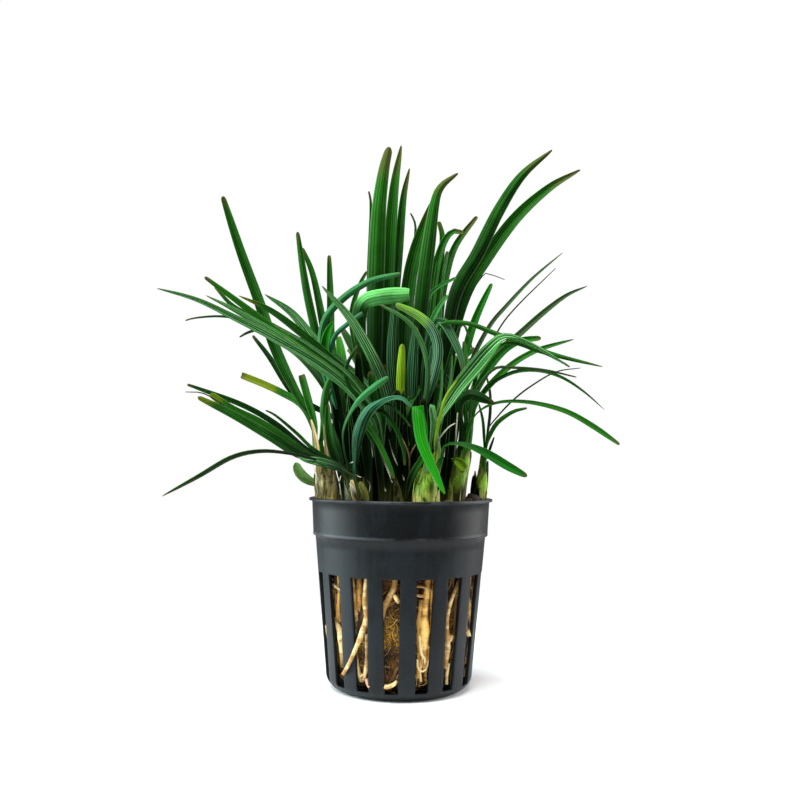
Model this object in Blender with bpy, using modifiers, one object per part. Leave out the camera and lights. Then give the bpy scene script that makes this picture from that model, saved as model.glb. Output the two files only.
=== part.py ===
"""Potted mondo grass: a tuft of strap leaves growing from several shoots in a slotted net pot.

The plant stands on the pot's flat base. The frame's origin is the middle of that base, +Z is up
and the side that the plant shows best looks along -Y. Lengths are in metres; the tables of
routes are in millimetres, which MM turns into metres.

Run it with: blender --background --python part.py
"""

import math
from typing import NamedTuple

import bmesh
import bpy
from mathutils import Vector

MM = 0.001

# Net pot
POT_HEIGHT = 51.1 * MM
LIP_RADIUS = 25.3 * MM
LIP_THICKNESS = 0.7 * MM
COLLAR_TOP_RADIUS = 24.45 * MM
COLLAR_LOW_RADIUS = 23.9 * MM
COLLAR_LOW_Z = 41.0 * MM
BODY_TOP_RADIUS = 23.35 * MM
BODY_LOW_RADIUS = 20.0 * MM
BODY_LOW_Z = 4.6 * MM
BASE_RADIUS = 15.6 * MM
WALL = 1.0 * MM
POT_STEPS = 48

# The slots that let water and roots through the wall
SLOT_COUNT = 16
SLOT_FIRST_DEG = -5.6
SLOT_TOP_Z = 31.4 * MM
SLOT_LOW_Z = 2.4 * MM
SLOT_TOP_WIDTH = 4.65 * MM
SLOT_LOW_WIDTH = 3.3 * MM
BASE_SLOT_COUNT = 8
BASE_SLOT_LENGTH = 6.0 * MM
BASE_SLOT_WIDTH = 2.4 * MM
BASE_SLOT_MIDDLE = 10.0 * MM

# The block of growing wool that fills the pot
PLUG_TOP_Z = 48.6 * MM
PLUG_RIM_RADIUS = 23.0 * MM
PLUG_NECK_Z = 43.0 * MM
PLUG_NECK_RADIUS = 22.0 * MM
PLUG_SHOULDER_Z = 34.5 * MM
PLUG_SHOULDER_RADIUS = 19.2 * MM
PLUG_LOW_Z = 3.4 * MM
PLUG_LOW_RADIUS = 15.2 * MM
PLUG_FOOT_RADIUS = 13.0 * MM
PLUG_STEPS = 24

GAP = 0.3 * MM

# Stems and roots: 4 sides and 2 more for each level
TUBE_SIDES_LEVEL = 2
STEM_ROWS = 5
ROOT_ROWS = 10

# Leaves
BLADE_THICKNESS = 0.36 * MM
BLADE_ROWS_LEAST = 6
BLADE_ROW_TURN_DEG = 18
BLADE_KEEL = 0.16
FOOT_SHARE = 0.4
FOOT_RISE = 0.4 * MM

# The eye that the front view is drawn from. Route points are (across, up, depth): across and up
# are where the eye sees the point in the plane y = 0, and depth is how far behind it is.
FRONT_EYE = Vector((-0.5, -254.0, 61.4)) * MM

COLOURS = {
    "pot": (0.055, 0.075, 0.085, 1.0),
    "wool": (0.16, 0.09, 0.035, 1.0),
    "root": (0.62, 0.43, 0.2, 1.0),
    "sheath": (0.42, 0.4, 0.12, 1.0),
    "leaf": (0.03, 0.15, 0.03, 1.0),
}
ROUGHNESS = {"pot": 0.5, "wool": 0.95, "root": 0.7, "sheath": 0.6, "leaf": 0.45}


class Shoot(NamedTuple):
    """A shoot's stem: the points that it goes through and its radius at each, in millimetres."""

    name: str
    route: tuple
    radii: tuple


class Root(NamedTuple):
    """A thick root between the wool and the wall.

    Each point of the route is (degrees, height, depth). The root shows from the front where
    the wall's outer face is that many degrees around, and depth is how far the root's middle is
    inside that face. Heights, depths and radii are in millimetres.
    """

    name: str
    route: tuple
    radii: tuple


class Leaf(NamedTuple):
    """A strap leaf. Its foot sits on its shoot; the route is the rest of it, to the tip.

    width is its widest, in millimetres. turn is how far the blade is turned away from facing
    the front, in degrees, at its foot and at its tip. tip is the share of the width that is
    left at the end: little on a pointed leaf, nearly all on a cut one. widest is where along
    the leaf it is broadest, and foot is where it leaves the shoot, in millimetres from the
    middle of the shoot's top.
    """

    name: str
    shoot: str
    width: float
    turn: tuple
    route: tuple
    tip: float = 0.12
    widest: float = 0.4
    foot: tuple = ()


SHOOTS = (
    Shoot("shoot_left", ((-20.2, 49.2, -1), (-20.5, 54, -1), (-21.5, 59, -1), (-22.9, 65, -1)),
          (2.4, 2.5, 2.1, 1.3)),
    Shoot("shoot_front_left", ((-12.2, 49.2, -13), (-12.6, 54, -13), (-13.2, 58, -13)), (1.8, 1.9, 1.4)),
    Shoot("shoot_centre", ((-2.6, 49.2, -8), (-3.0, 54, -8), (-3.8, 60, -8.5)), (2.0, 2.1, 1.4)),
    Shoot("shoot_mid", ((2.5, 49.2, 2), (2.8, 56, 2), (3.2, 63, 1.5)), (2.0, 2.0, 1.3)),
    Shoot("shoot_front_right", ((7.0, 49.2, -14), (7.2, 54, -14), (8.6, 62, -13.4)), (2.7, 2.5, 1.5)),
    Shoot("shoot_thick", ((15.2, 49.2, -4), (15.5, 56, -4), (16.5, 63, -3.6), (17.3, 69.5, -3)),
          (2.1, 2.1, 1.8, 1.3)),
    Shoot("shoot_right", ((21.6, 49.2, 3), (22.2, 56, 3), (22.9, 63.5, 3)), (1.1, 1.1, 0.8)),
    Shoot("shoot_tall", ((-5.2, 49.2, 8), (-5.4, 57, 8), (-6.0, 66, 7.5)), (2.2, 2.2, 1.6)),
    Shoot("shoot_back_right", ((9.6, 49.2, 9), (9.8, 57, 9), (10.8, 66, 9.5)), (2.2, 2.2, 1.5)),
    Shoot("shoot_back_left", ((-13.6, 49.2, 8), (-14.2, 57, 8.5), (-15.6, 66, 9)), (2.0, 2.0, 1.3)),
    Shoot("shoot_back", ((2.0, 49.2, 17), (2.0, 55, 17.5), (1.6, 62, 18.5)), (2.0, 2.0, 1.3)),
)

ROOTS = (
    Root("root_outside",
         ((-22, 33, 2.2), (-24, 26, 2.1), (-22.6, 21.5, 2.0), (-26.6, 17.6, 1.2), (-32.5, 13.4, -0.95),
          (-39.5, 9.2, -0.95), (-45.5, 6.4, -0.7)),
         (0.55, 0.6, 0.9, 0.9, 0.5, 0.5, 0.45)),
    Root("root_tuber",
         ((18.5, 33, 2.3), (18, 27.5, 2.1), (17.2, 22, 2.0), (17.6, 17.2, 1.8), (18, 13.6, 2.1),
          (19, 8, 2.1)),
         (0.7, 0.8, 0.8, 1.45, 0.8, 0.6)),
    Root("root_front",
         ((-3.4, 33.5, 2.3), (-3.8, 29.4, 2.1), (-7.4, 26.4, 2.1), (-11.5, 23, 2.2), (-15, 17, 2.4),
          (-14, 10, 2.3)),
         (0.75, 0.8, 0.8, 0.75, 0.7, 0.5)),
    Root("root_right",
         ((45.5, 31.6, 2.2), (40, 27.5, 2.0), (36.2, 24, 1.9), (34.8, 19.5, 2.1), (36.4, 14.4, 2.0),
          (36, 8, 2.0)),
         (0.45, 0.5, 0.5, 0.6, 1.0, 0.6)),
)

LEAVES = (
    # Shoot at the left edge
    Leaf("leaf_left_tall", "shoot_left", 3.3, (15, 5),
         ((-25.3, 73.4, 2), (-28.2, 78, 3), (-34.7, 91, 4), (-40.4, 106, 3), (-45.9, 120.2, 1),
          (-51.3, 135.6, -2))),
    Leaf("leaf_left_cut", "shoot_left", 2.2, (20, 10),
         ((-24.9, 72, 7), (-28, 76.9, 10), (-33.1, 79.9, 13), (-38.8, 82.5, 15), (-44.8, 84.8, 17)),
         0.95, 0.3),
    Leaf("leaf_left_inner", "shoot_left", 1.8, (10, 30),
         ((-21.5, 70, -4.5), (-21.9, 76, -7), (-21.3, 81.5, -9), (-19.5, 85.6, -10))),
    # Shoot at the front left, whose leaves reach far out to the left
    Leaf("leaf_low_left", "shoot_front_left", 2.6, (20, 0),
         ((-17.4, 59.1, -15.5), (-23.5, 61.2, -16.5), (-29.5, 63.3, -17), (-36.6, 67.7, -18),
          (-46.9, 73.6, -19), (-57, 78.5, -20)), 0.4),
    Leaf("leaf_low_left_upper", "shoot_front_left", 2.5, (30, 0),
         ((-18.6, 60, -12), (-25.4, 62.7, -11), (-31.9, 67, -10), (-39.4, 71.6, -10), (-47, 75.2, -10),
          (-53.5, 79.4, -10)), 0.65),
    Leaf("leaf_droop_left", "shoot_front_left", 1.5, (60, 35),
         ((-18, 59.2, -19), (-25, 61.6, -22), (-32.8, 63.1, -25), (-40, 63.3, -27), (-47.4, 61.4, -29),
          (-56, 56.4, -31), (-66.2, 50.8, -34)), 0.08, 0.65),
    Leaf("leaf_teal_arch", "shoot_front_left", 2.6, (35, 60),
         ((-13.2, 64, -16), (-12.8, 70, -18), (-9.6, 75.6, -20), (-4.5, 78.8, -21.5), (0, 79.2, -22.5),
          (3, 76.4, -23))),
    Leaf("leaf_front_arch", "shoot_front_left", 2.1, (65, 0),
         ((-16, 64, -16.5), (-16.3, 70, -19), (-13.6, 76.4, -22), (-9.2, 80.9, -24), (-3.8, 84.7, -26))),
    # Shoot in the middle of the front, whose leaves lean across to the left
    Leaf("leaf_diagonal_low", "shoot_centre", 2.9, (20, 50),
         ((-7.8, 71, -12), (-15, 81, -15), (-23.8, 88, -18), (-35.2, 94.5, -21), (-46.6, 100.3, -24),
          (-58, 105.7, -27), (-69.2, 109, -30)), 0.06),
    Leaf("leaf_diagonal_long", "shoot_centre", 2.3, (10, 10),
         ((-6.2, 71, -9.6), (-13, 80.4, -11), (-21.6, 87.4, -12), (-31, 93.9, -13.5), (-42.9, 102.9, -15),
          (-55.9, 112.4, -17))),
    Leaf("leaf_yellow_tip", "shoot_centre", 2.3, (30, 10),
         ((-5.2, 71, -6.4), (-11.4, 82, -6), (-20.2, 90.2, -6), (-28.7, 97.2, -6), (-37.3, 103.3, -6),
          (-46.2, 107.2, -6)), 0.12, 0.6),
    Leaf("leaf_light_left", "shoot_centre", 3.2, (40, 10),
         ((-3.8, 72, -4), (-9.4, 82, -1), (-16.4, 88, 0.5), (-23.6, 93.9, 1.5), (-31, 102.4, 1.5),
          (-38.9, 107.7, 1)), 0.12, 0.6),
    Leaf("leaf_striped", "shoot_centre", 3.1, (0, 0),
         ((-3.2, 71, -13), (-4.2, 80, -17), (-7.4, 88.3, -20), (-12.5, 97.8, -22), (-16.2, 103, -22.5),
          (-22.8, 110.2, -23)), 0.15),
    # Shoot at the back left
    Leaf("leaf_left_upright", "shoot_back_left", 2.6, (10, 0),
         ((-18.2, 76, 8), (-22.2, 88, 7), (-25.4, 101, 6), (-27.6, 111, 5), (-30, 125.6, 4))),
    Leaf("leaf_left_second", "shoot_back_left", 2.5, (20, 0),
         ((-17.5, 76, 11), (-20.4, 90, 12), (-23.3, 104.6, 12), (-25.6, 114, 12), (-28.6, 121, 12))),
    Leaf("leaf_left_short", "shoot_back_left", 2.6, (0, 0),
         ((-16.8, 78, 13), (-19.8, 93, 16), (-20.3, 106, 18), (-20.9, 119, 19)), foot=(-0.4, 2.2, 0.3)),
    Leaf("leaf_mint_arch", "shoot_back_left", 2.1, (50, 0),
         ((-19.5, 76, 4), (-22.8, 90, -1), (-22.4, 99.6, -4), (-18, 105.9, -7), (-10, 111.5, -10),
          (-0.7, 114, -12)), 0.4),
    Leaf("leaf_back_left", "shoot_back_left", 2.8, (10, 30),
         ((-17, 74, 17), (-19, 84, 28), (-19, 90, 40), (-17, 90, 52)), foot=(0.5, 3.6, -1.2)),
    # Tall shoot
    Leaf("leaf_tall_broad", "shoot_tall", 5.0, (0, 0),
         ((-7.4, 80, 6), (-7.9, 98, 5), (-7.6, 115, 4), (-7.1, 132, 3), (-5.8, 143.7, 2.4), (-4.3, 150.4, 2)),
         0.2, 0.5, foot=(-0.4, -2.4, 0.3)),
    Leaf("leaf_tall_second", "shoot_tall", 3.5, (0, 0),
         ((-5, 80, 9), (-4.2, 100, 9.5), (-3.8, 120.7, 10), (-2.8, 138, 10), (-0.9, 150.8, 10)),
         0.2, foot=(0.4, 2.3, 0.3)),
    Leaf("leaf_tall_third", "shoot_tall", 2.4, (10, 0),
         ((-3.9, 80, 12), (-2.4, 100, 14), (-1.2, 120.7, 15), (-0.2, 135, 15.5), (1.5, 144.2, 16)),
         0.15, foot=(0.8, 3.5, -0.6)),
    Leaf("leaf_folded", "shoot_tall", 4.0, (20, 0),
         ((-9, 78, 3), (-11.8, 91, 0), (-13.3, 101, -3), (-11.4, 106.4, -5.5), (-5.5, 107.8, -8),
          (1.7, 108.2, -10)), 0.45, 0.6, foot=(-3.3, -1.2, -0.4)),
    # Shoot in the middle
    Leaf("leaf_mid_left", "shoot_mid", 3.1, (0, 0),
         ((0.8, 72, -1), (-2.2, 83, -3), (-3, 93, -5), (-2.2, 106, -7))),
    Leaf("leaf_centre_broad", "shoot_mid", 4.2, (0, 0),
         ((3.6, 74, 0), (4.2, 90, -2), (5.3, 106, -4), (7, 121, -6), (8.7, 134, -7), (10.6, 139.2, -7.5),
          (15.3, 143, -8)), 0.1, 0.55),
    Leaf("leaf_centre_second", "shoot_mid", 3.4, (10, 0),
         ((2.4, 76, 4), (0.7, 94, 5), (1.8, 110, 5), (3.6, 121, 4), (8, 135, 2)), 0.1),
    Leaf("leaf_arch_fine", "shoot_mid", 1.5, (30, 0),
         ((5, 72, -3), (7, 82, -7.5), (6.8, 89.5, -10.5), (4, 97.3, -13), (0, 101.6, -15), (-6.2, 105, -17)),
         foot=(1.8, -2.1, -0.8)),
    Leaf("leaf_arch_lime", "shoot_mid", 3.0, (35, 10),
         ((5.8, 72, 0.5), (8.6, 83, -2), (10.2, 92, -5), (8.5, 98, -8), (4.4, 102, -10.5),
          (-2, 105.2, -12.5)), 0.3, 0.6),
    # Shoot at the back right
    Leaf("leaf_right_tall", "shoot_back_right", 4.0, (0, 0),
         ((12, 80, 8), (12.6, 95, 6), (15, 109, 4), (21, 120, 2), (27, 132.5, 0), (33.5, 142.6, -2),
          (42, 150, -4)), 0.1, 0.55, foot=(0.6, -2.1, 0.3)),
    Leaf("leaf_right_tall_outer", "shoot_back_right", 3.9, (5, 0),
         ((12.8, 78, 12), (14, 94, 12), (17.5, 108, 11), (23.7, 119, 10), (31.6, 130, 9), (41, 138.8, 8),
          (50, 144.3, 7)), 0.1, 0.55, foot=(2.7, 0.0, -0.3)),
    Leaf("leaf_back_point", "shoot_back_right", 2.8, (0, 10),
         ((9.8, 82, 16), (10.4, 102.6, 19), (12.1, 113.4, 20), (14.8, 122, 21), (20.8, 130.5, 22)),
         foot=(-0.9, 2.3, 0.4)),
    Leaf("leaf_bright_short", "shoot_back_right", 2.1, (0, 10),
         ((15, 80, 14), (18, 93, 16.5), (20.6, 101.5, 19), (25, 111.4, 21)),
         0.12, 0.6, foot=(1.3, 2.5, -0.4)),
    Leaf("leaf_right_fine", "shoot_back_right", 1.4, (50, 55),
         ((15.5, 75, 16), (19, 88, 22), (24.2, 98.7, 25), (29.5, 105.3, 27), (36.4, 112.8, 30),
          (45, 120.4, 32)), 0.1, foot=(2.9, 2.6, -2.5)),
    Leaf("leaf_right_over", "shoot_back_right", 1.5, (30, 0),
         ((8.6, 78, 4), (7.4, 91, -2), (10.5, 99.4, -7), (18, 100.2, -10), (26, 97.4, -12),
          (35.8, 93.9, -14), (43.2, 91.3, -15), (56.1, 88.2, -17)), 0.1, 0.7, foot=(-2.3, -0.9, 0)),
    # Shoot at the front right
    Leaf("leaf_bright_front", "shoot_front_right", 3.2, (70, 10),
         ((6.4, 69, -15), (5, 75.6, -16.5), (4.6, 78, -18.5), (4.7, 74, -20.5), (6.2, 65.5, -22.5),
          (12.2, 52.3, -26)), 0.12, 0.6),
    Leaf("leaf_broad_right", "shoot_front_right", 4.2, (20, 0),
         ((10.2, 71.5, -14), (14.6, 80, -15), (20.6, 87.6, -16), (25, 92.6, -17), (29.2, 95.7, -17.5),
          (35.8, 93.9, -17), (46.7, 88.2, -16)), 0.1, 0.5),
    Leaf("leaf_low_right", "shoot_front_right", 2.0, (75, 0),
         ((12, 65.4, -15.5), (16.6, 65.9, -17), (23, 63.6, -18.5), (29, 60.4, -20), (35, 57.4, -21)),
         0.12, 0.6, foot=(2.6, -1.5, -0.8)),
    # Thick shoot
    Leaf("leaf_right_blunt", "shoot_thick", 1.9, (30, 10),
         ((19.6, 77, -4.6), (23, 85, -7), (28, 91.8, -10), (33, 95.1, -12), (38.9, 96, -14)), 0.6),
    Leaf("leaf_right_long", "shoot_thick", 2.0, (35, 20),
         ((20.8, 77, -2), (25.6, 83.5, -2), (31.5, 88.9, -2), (38, 92.6, -1), (48, 95.8, 0)), 0.1),
    Leaf("leaf_right_high", "shoot_thick", 1.7, (20, 10),
         ((19.4, 80, 1), (24.6, 90.5, 4), (31.5, 95.9, 7), (39.4, 103.1, 10), (46, 108.2, 12), (52, 111, 14)),
         0.15, 0.6),
    Leaf("leaf_right_arc", "shoot_thick", 1.7, (40, 20),
         ((20.4, 74, -7.5), (24.5, 77, -9.5), (30, 78.1, -11), (38, 77.5, -13), (46, 75.3, -15),
          (53, 71.5, -16), (60.7, 66.4, -18)), 0.2, 0.8),
    Leaf("leaf_right_dark", "shoot_thick", 2.9, (40, 20),
         ((17.4, 75, -7), (18, 79.6, -9.5), (21, 80.4, -11.5), (26, 77.9, -13)), 0.15, 0.6),
    # Shoot at the back
    Leaf("leaf_back_long", "shoot_back", 3.2, (0, 20),
         ((-1, 72, 24), (-5, 84, 35), (-7.5, 92, 48), (-8, 93, 60))),
    Leaf("leaf_back_upright", "shoot_back", 3.4, (0, 0),
         ((2.6, 74, 22), (4.6, 90, 28), (6.4, 104, 32), (8, 114, 35))),
)


def clear_scene():
    """Removes the objects that Blender starts with."""
    for obj in list(bpy.data.objects):
        bpy.data.objects.remove(obj)


def collection(name, hidden=False):
    """A new collection in the scene; a hidden one holds cutters."""
    made = bpy.data.collections.new(name)
    bpy.context.scene.collection.children.link(made)
    made.hide_render = hidden
    return made


def material(name):
    """A Principled BSDF in the finish of that name."""
    made = bpy.data.materials.new(name)
    made.use_nodes = True
    shader = made.node_tree.nodes["Principled BSDF"]
    shader.inputs["Base Color"].default_value = COLOURS[name]
    shader.inputs["Roughness"].default_value = ROUGHNESS[name]
    shader.inputs["Metallic"].default_value = 0.0
    return made


def mesh_object(name, mesh, into, finish=None):
    """An object for the mesh, in a collection, with its finish."""
    obj = bpy.data.objects.new(name, mesh)
    into.objects.link(obj)
    if finish:
        mesh.materials.append(finish)
    return obj


def in_space(point):
    """The place in metres of a route point, which is (across, up, depth) in millimetres."""
    across, up, depth = point
    seen = Vector((across, 0.0, up)) * MM
    sight = (seen - FRONT_EYE) / -FRONT_EYE.y
    return FRONT_EYE + sight * (depth * MM - FRONT_EYE.y)


def smooth_through(points, count):
    """Places on one smooth curve through the points, evenly spaced along it."""
    fine_steps = 24
    ends = [2 * points[0] - points[1], *points, 2 * points[-1] - points[-2]]
    fine = []
    for before, start, end, after in zip(ends, ends[1:], ends[2:], ends[3:]):
        for step in range(fine_steps):
            t = step / fine_steps
            fine.append(
                0.5 * (2 * start + (end - before) * t
                       + (2 * before - 5 * start + 4 * end - after) * t ** 2
                       + (3 * start - before - 3 * end + after) * t ** 3)
            )
    fine.append(points[-1])
    run = [0.0]
    for a, b in zip(fine, fine[1:]):
        run.append(run[-1] + (b - a).length)
    places, at = [], 0
    for k in range(count):
        wanted = run[-1] * k / (count - 1)
        while at < len(run) - 2 and run[at + 1] < wanted:
            at += 1
        share = (wanted - run[at]) / (run[at + 1] - run[at])
        places.append(fine[at].lerp(fine[at + 1], min(1.0, share)))
    return places


def turning(points):
    """How far a route turns on its way through the points, in degrees."""
    legs = [b - a for a, b in zip(points, points[1:])]
    return sum(math.degrees(a.angle(b)) for a, b in zip(legs, legs[1:]))


def smooth_step(t):
    """0 to 1 with no kink at either end."""
    t = max(0.0, min(1.0, t))
    return t * t * (3 - 2 * t)


def turned(name, profile, steps, into, finish=None):
    """A solid turned about Z: the profile runs from the axis, down the outside, to the axis."""
    mesh = bpy.data.meshes.new(name)
    shape = bmesh.new()
    corners = [shape.verts.new((radius, 0, z)) for radius, z in profile]
    for a, b in zip(corners, corners[1:]):
        shape.edges.new((a, b))
    shape.to_mesh(mesh)
    shape.free()
    obj = mesh_object(name, mesh, into, finish)
    screw = obj.modifiers.new("turn", "SCREW")
    screw.steps = screw.render_steps = steps
    screw.use_merge_vertices = True
    screw.merge_threshold = 0.00001
    return obj


def arc(centre, radius, start_deg, end_deg, count):
    """Points (radius, z) along an arc in the profile plane."""
    points = []
    for k in range(count):
        a = math.radians(start_deg + (end_deg - start_deg) * k / (count - 1))
        points.append((centre[0] + radius * math.cos(a), centre[1] + radius * math.sin(a)))
    return points


def body_radius(z):
    """The outer radius of the pot's body at a height."""
    share = (z - BODY_LOW_Z) / (COLLAR_LOW_Z - BODY_LOW_Z)
    return BODY_LOW_RADIUS + (BODY_TOP_RADIUS - BODY_LOW_RADIUS) * share


def pot_profile():
    """Down the outside of the pot from the lip, across the base, and up the inside."""
    foot = BODY_LOW_RADIUS - BASE_RADIUS
    outer_foot = arc((BASE_RADIUS, foot), foot, 0, -90, 5)
    inner_foot = arc((BASE_RADIUS, foot), foot - WALL, -90, 0, 4)
    return [
        (COLLAR_TOP_RADIUS - WALL, POT_HEIGHT),
        (LIP_RADIUS, POT_HEIGHT),
        (LIP_RADIUS, POT_HEIGHT - LIP_THICKNESS),
        (COLLAR_TOP_RADIUS, POT_HEIGHT - LIP_THICKNESS - 0.2 * MM),
        (COLLAR_LOW_RADIUS, COLLAR_LOW_Z + 0.4 * MM),
        (COLLAR_LOW_RADIUS - 0.15 * MM, COLLAR_LOW_Z),
        (BODY_TOP_RADIUS, COLLAR_LOW_Z - 0.15 * MM),
        (body_radius(SLOT_TOP_Z), SLOT_TOP_Z),
        *outer_foot,
        (0, 0),
        (0, WALL),
        *inner_foot,
        (BODY_TOP_RADIUS - WALL, COLLAR_LOW_Z - WALL),
        (COLLAR_LOW_RADIUS - WALL, COLLAR_LOW_Z),
        (COLLAR_TOP_RADIUS - WALL, POT_HEIGHT),
    ]


def slot_cutter(name, into):
    """A tapered bar that cuts one slot, standing on the +X side of the pot."""
    shape = bmesh.new()
    bmesh.ops.create_cube(shape, size=1.0)
    inner = 0.72 * BASE_RADIUS
    outer = LIP_RADIUS + WALL
    for corner in shape.verts:
        top = corner.co.z > 0
        width = SLOT_TOP_WIDTH if top else SLOT_LOW_WIDTH
        corner.co = Vector((
            outer if corner.co.x > 0 else inner,
            math.copysign(width / 2, corner.co.y),
            SLOT_TOP_Z if top else SLOT_LOW_Z,
        ))
    mesh = bpy.data.meshes.new(name)
    shape.to_mesh(mesh)
    shape.free()
    return mesh_object(name, mesh, into)


def base_slot_cutter(name, into):
    """A flat bar that cuts one drain slot in the base, along +X."""
    shape = bmesh.new()
    bmesh.ops.create_cube(shape, size=1.0)
    for corner in shape.verts:
        corner.co = Vector((
            BASE_SLOT_MIDDLE + BASE_SLOT_LENGTH * corner.co.x,
            BASE_SLOT_WIDTH * corner.co.y,
            4 * WALL * corner.co.z,
        ))
    mesh = bpy.data.meshes.new(name)
    shape.to_mesh(mesh)
    shape.free()
    return mesh_object(name, mesh, into)


def make_pot(parts, cutters, finish):
    """The net pot: a turned cup with a collar and a lip, and slots through its wall and base."""
    pot = turned("pot", pot_profile(), POT_STEPS, parts, finish)
    bars = bpy.data.collections.new("pot_slots")
    cutters.children.link(bars)
    pitch = 360 / SLOT_COUNT
    for k in range(SLOT_COUNT):
        bar = slot_cutter(f"slot_cutter_{k + 1:02d}", bars)
        bar.rotation_euler.z = math.radians(-90 + SLOT_FIRST_DEG + pitch * k)
    for k in range(BASE_SLOT_COUNT):
        bar = base_slot_cutter(f"base_cutter_{k + 1:02d}", bars)
        bar.rotation_euler.z = math.radians(-90 + SLOT_FIRST_DEG + pitch * (2 * k + 0.5))
    for bar in bars.objects:
        bar.display_type = "WIRE"
        bar.hide_render = True
    cut = pot.modifiers.new("slots", "BOOLEAN")
    cut.operand_type = "COLLECTION"
    cut.collection = bars
    cut.operation = "DIFFERENCE"
    return pot


def make_plug(parts, finish):
    """The growing wool: a block that follows the pot's inside and leaves the roots room."""
    profile = [
        (0, PLUG_TOP_Z),
        (PLUG_RIM_RADIUS - WALL, PLUG_TOP_Z),
        (PLUG_RIM_RADIUS, PLUG_TOP_Z - WALL),
        (PLUG_NECK_RADIUS, PLUG_NECK_Z),
        (PLUG_SHOULDER_RADIUS, PLUG_SHOULDER_Z),
        (PLUG_LOW_RADIUS, PLUG_LOW_Z),
        (PLUG_FOOT_RADIUS, WALL + GAP),
        (0, WALL + GAP),
    ]
    return turned("growing_wool", profile, PLUG_STEPS, parts, finish)


def tube(name, places, radii, into, finish):
    """A round tube along the places, with its own radius at each."""
    curve = bpy.data.curves.new(name, "CURVE")
    curve.dimensions = "3D"
    curve.bevel_depth = 1.0
    curve.bevel_resolution = TUBE_SIDES_LEVEL
    curve.use_fill_caps = True
    spline = curve.splines.new("POLY")
    spline.points.add(len(places) - 1)
    for point, place, radius in zip(spline.points, places, radii):
        point.co = (*place, 1.0)
        point.radius = radius
    obj = bpy.data.objects.new(name, curve)
    into.objects.link(obj)
    curve.materials.append(finish)
    return obj


def radius_at(radii, share):
    """The radius in metres, share of the way along a list of radii in millimetres."""
    at = share * (len(radii) - 1)
    k = min(int(at), len(radii) - 2)
    return (radii[k] + (radii[k + 1] - radii[k]) * (at - k)) * MM


def make_stem(stem, points, count, parts, finish):
    """A round stem or root through the points, with its own radius all along."""
    places = smooth_through(points, count)
    radii = [radius_at(stem.radii, k / (count - 1)) for k in range(count)]
    return tube(stem.name, places, radii, parts, finish)


def by_wall(point):
    """The place in metres of a root's route point, which is given by the pot's wall."""
    degrees, height, depth = point
    wall = body_radius(height * MM)
    across = wall * math.sin(math.radians(degrees))
    back = -math.sqrt((wall - depth * MM) ** 2 - across ** 2)
    return Vector((across, back, height * MM))


def leaf_foot(leaf, order, siblings):
    """Where a leaf leaves its shoot: on the side that it grows to, outer leaves lower down."""
    shoot = next(s for s in SHOOTS if s.name == leaf.shoot)
    top = in_space(shoot.route[-1])
    if leaf.foot:
        return top + Vector(leaf.foot) * MM
    aim = in_space(leaf.route[0]) - top
    aim.z = 0
    reach = shoot.radii[-1] * MM + blade_width(leaf, 0) + GAP
    below = (siblings - 1 - order) * 0.5 * MM
    return top + aim.normalized() * reach + Vector((0, 0, FOOT_RISE - below))


def blade_width(leaf, t):
    """A leaf's half width in metres at t, from 0 at its foot to 1 at its tip."""
    rise = FOOT_SHARE + (1 - FOOT_SHARE) * smooth_step(t / leaf.widest)
    past = max(0.0, (t - leaf.widest) / (1 - leaf.widest))
    taper = leaf.tip + (1 - leaf.tip) * (1 - past ** 2) ** 0.8
    return leaf.width * MM / 2 * rise * taper


def blade_frames(leaf, places):
    """For each place along a leaf: the direction across the blade and the one out of its face."""
    frames = []
    last = len(places) - 1
    for k, place in enumerate(places):
        along = (places[min(k + 1, last)] - places[max(k - 1, 0)]).normalized()
        to_front = Vector((0, -1, 0))
        face = (to_front - along * along.dot(to_front)).normalized()
        across = along.cross(face)
        turn = math.radians(leaf.turn[0] + (leaf.turn[1] - leaf.turn[0]) * k / last)
        across, face = (
            across * math.cos(turn) + face * math.sin(turn),
            face * math.cos(turn) - across * math.sin(turn),
        )
        frames.append((across, face))
    return frames


def make_leaf(leaf, order, siblings, parts, finish):
    """A leaf: a strip laid along its route, keeled down its middle, then given its thickness."""
    points = [leaf_foot(leaf, order, siblings)] + [in_space(p) for p in leaf.route]
    rows = BLADE_ROWS_LEAST + round(turning(points) / BLADE_ROW_TURN_DEG)
    places = smooth_through(points, rows + 1)
    frames = blade_frames(leaf, places)
    shape = bmesh.new()
    bmesh.ops.create_grid(shape, x_segments=2, y_segments=rows, size=1.0)
    for vertex in shape.verts:
        side = round(vertex.co.x)
        row = round((vertex.co.y + 1) / 2 * rows)
        across, face = frames[row]
        half = blade_width(leaf, row / rows)
        keel = 0 if side else -2 * BLADE_KEEL * half
        vertex.co = places[row] + across * side * half + face * keel
    mesh = bpy.data.meshes.new(leaf.name)
    shape.to_mesh(mesh)
    shape.free()
    obj = mesh_object(leaf.name, mesh, parts, finish)
    thickness = obj.modifiers.new("thickness", "SOLIDIFY")
    thickness.thickness = BLADE_THICKNESS
    thickness.offset = 0.0
    return obj


def main():
    clear_scene()
    parts = collection("potted_mondo_grass")
    cutters = collection("cutters", hidden=True)
    finishes = {name: material(name) for name in COLOURS}
    make_pot(parts, cutters, finishes["pot"])
    make_plug(parts, finishes["wool"])
    for root in ROOTS:
        make_stem(root, [by_wall(p) for p in root.route], ROOT_ROWS, parts, finishes["root"])
    for shoot in SHOOTS:
        points = [in_space(p) for p in shoot.route]
        points[0].z = PLUG_TOP_Z + 2 * GAP
        make_stem(shoot, points, STEM_ROWS, parts, finishes["sheath"])
        grown = [leaf for leaf in LEAVES if leaf.shoot == shoot.name]
        for order, leaf in enumerate(grown):
            make_leaf(leaf, order, len(grown), parts, finishes["leaf"])


main()
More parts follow.
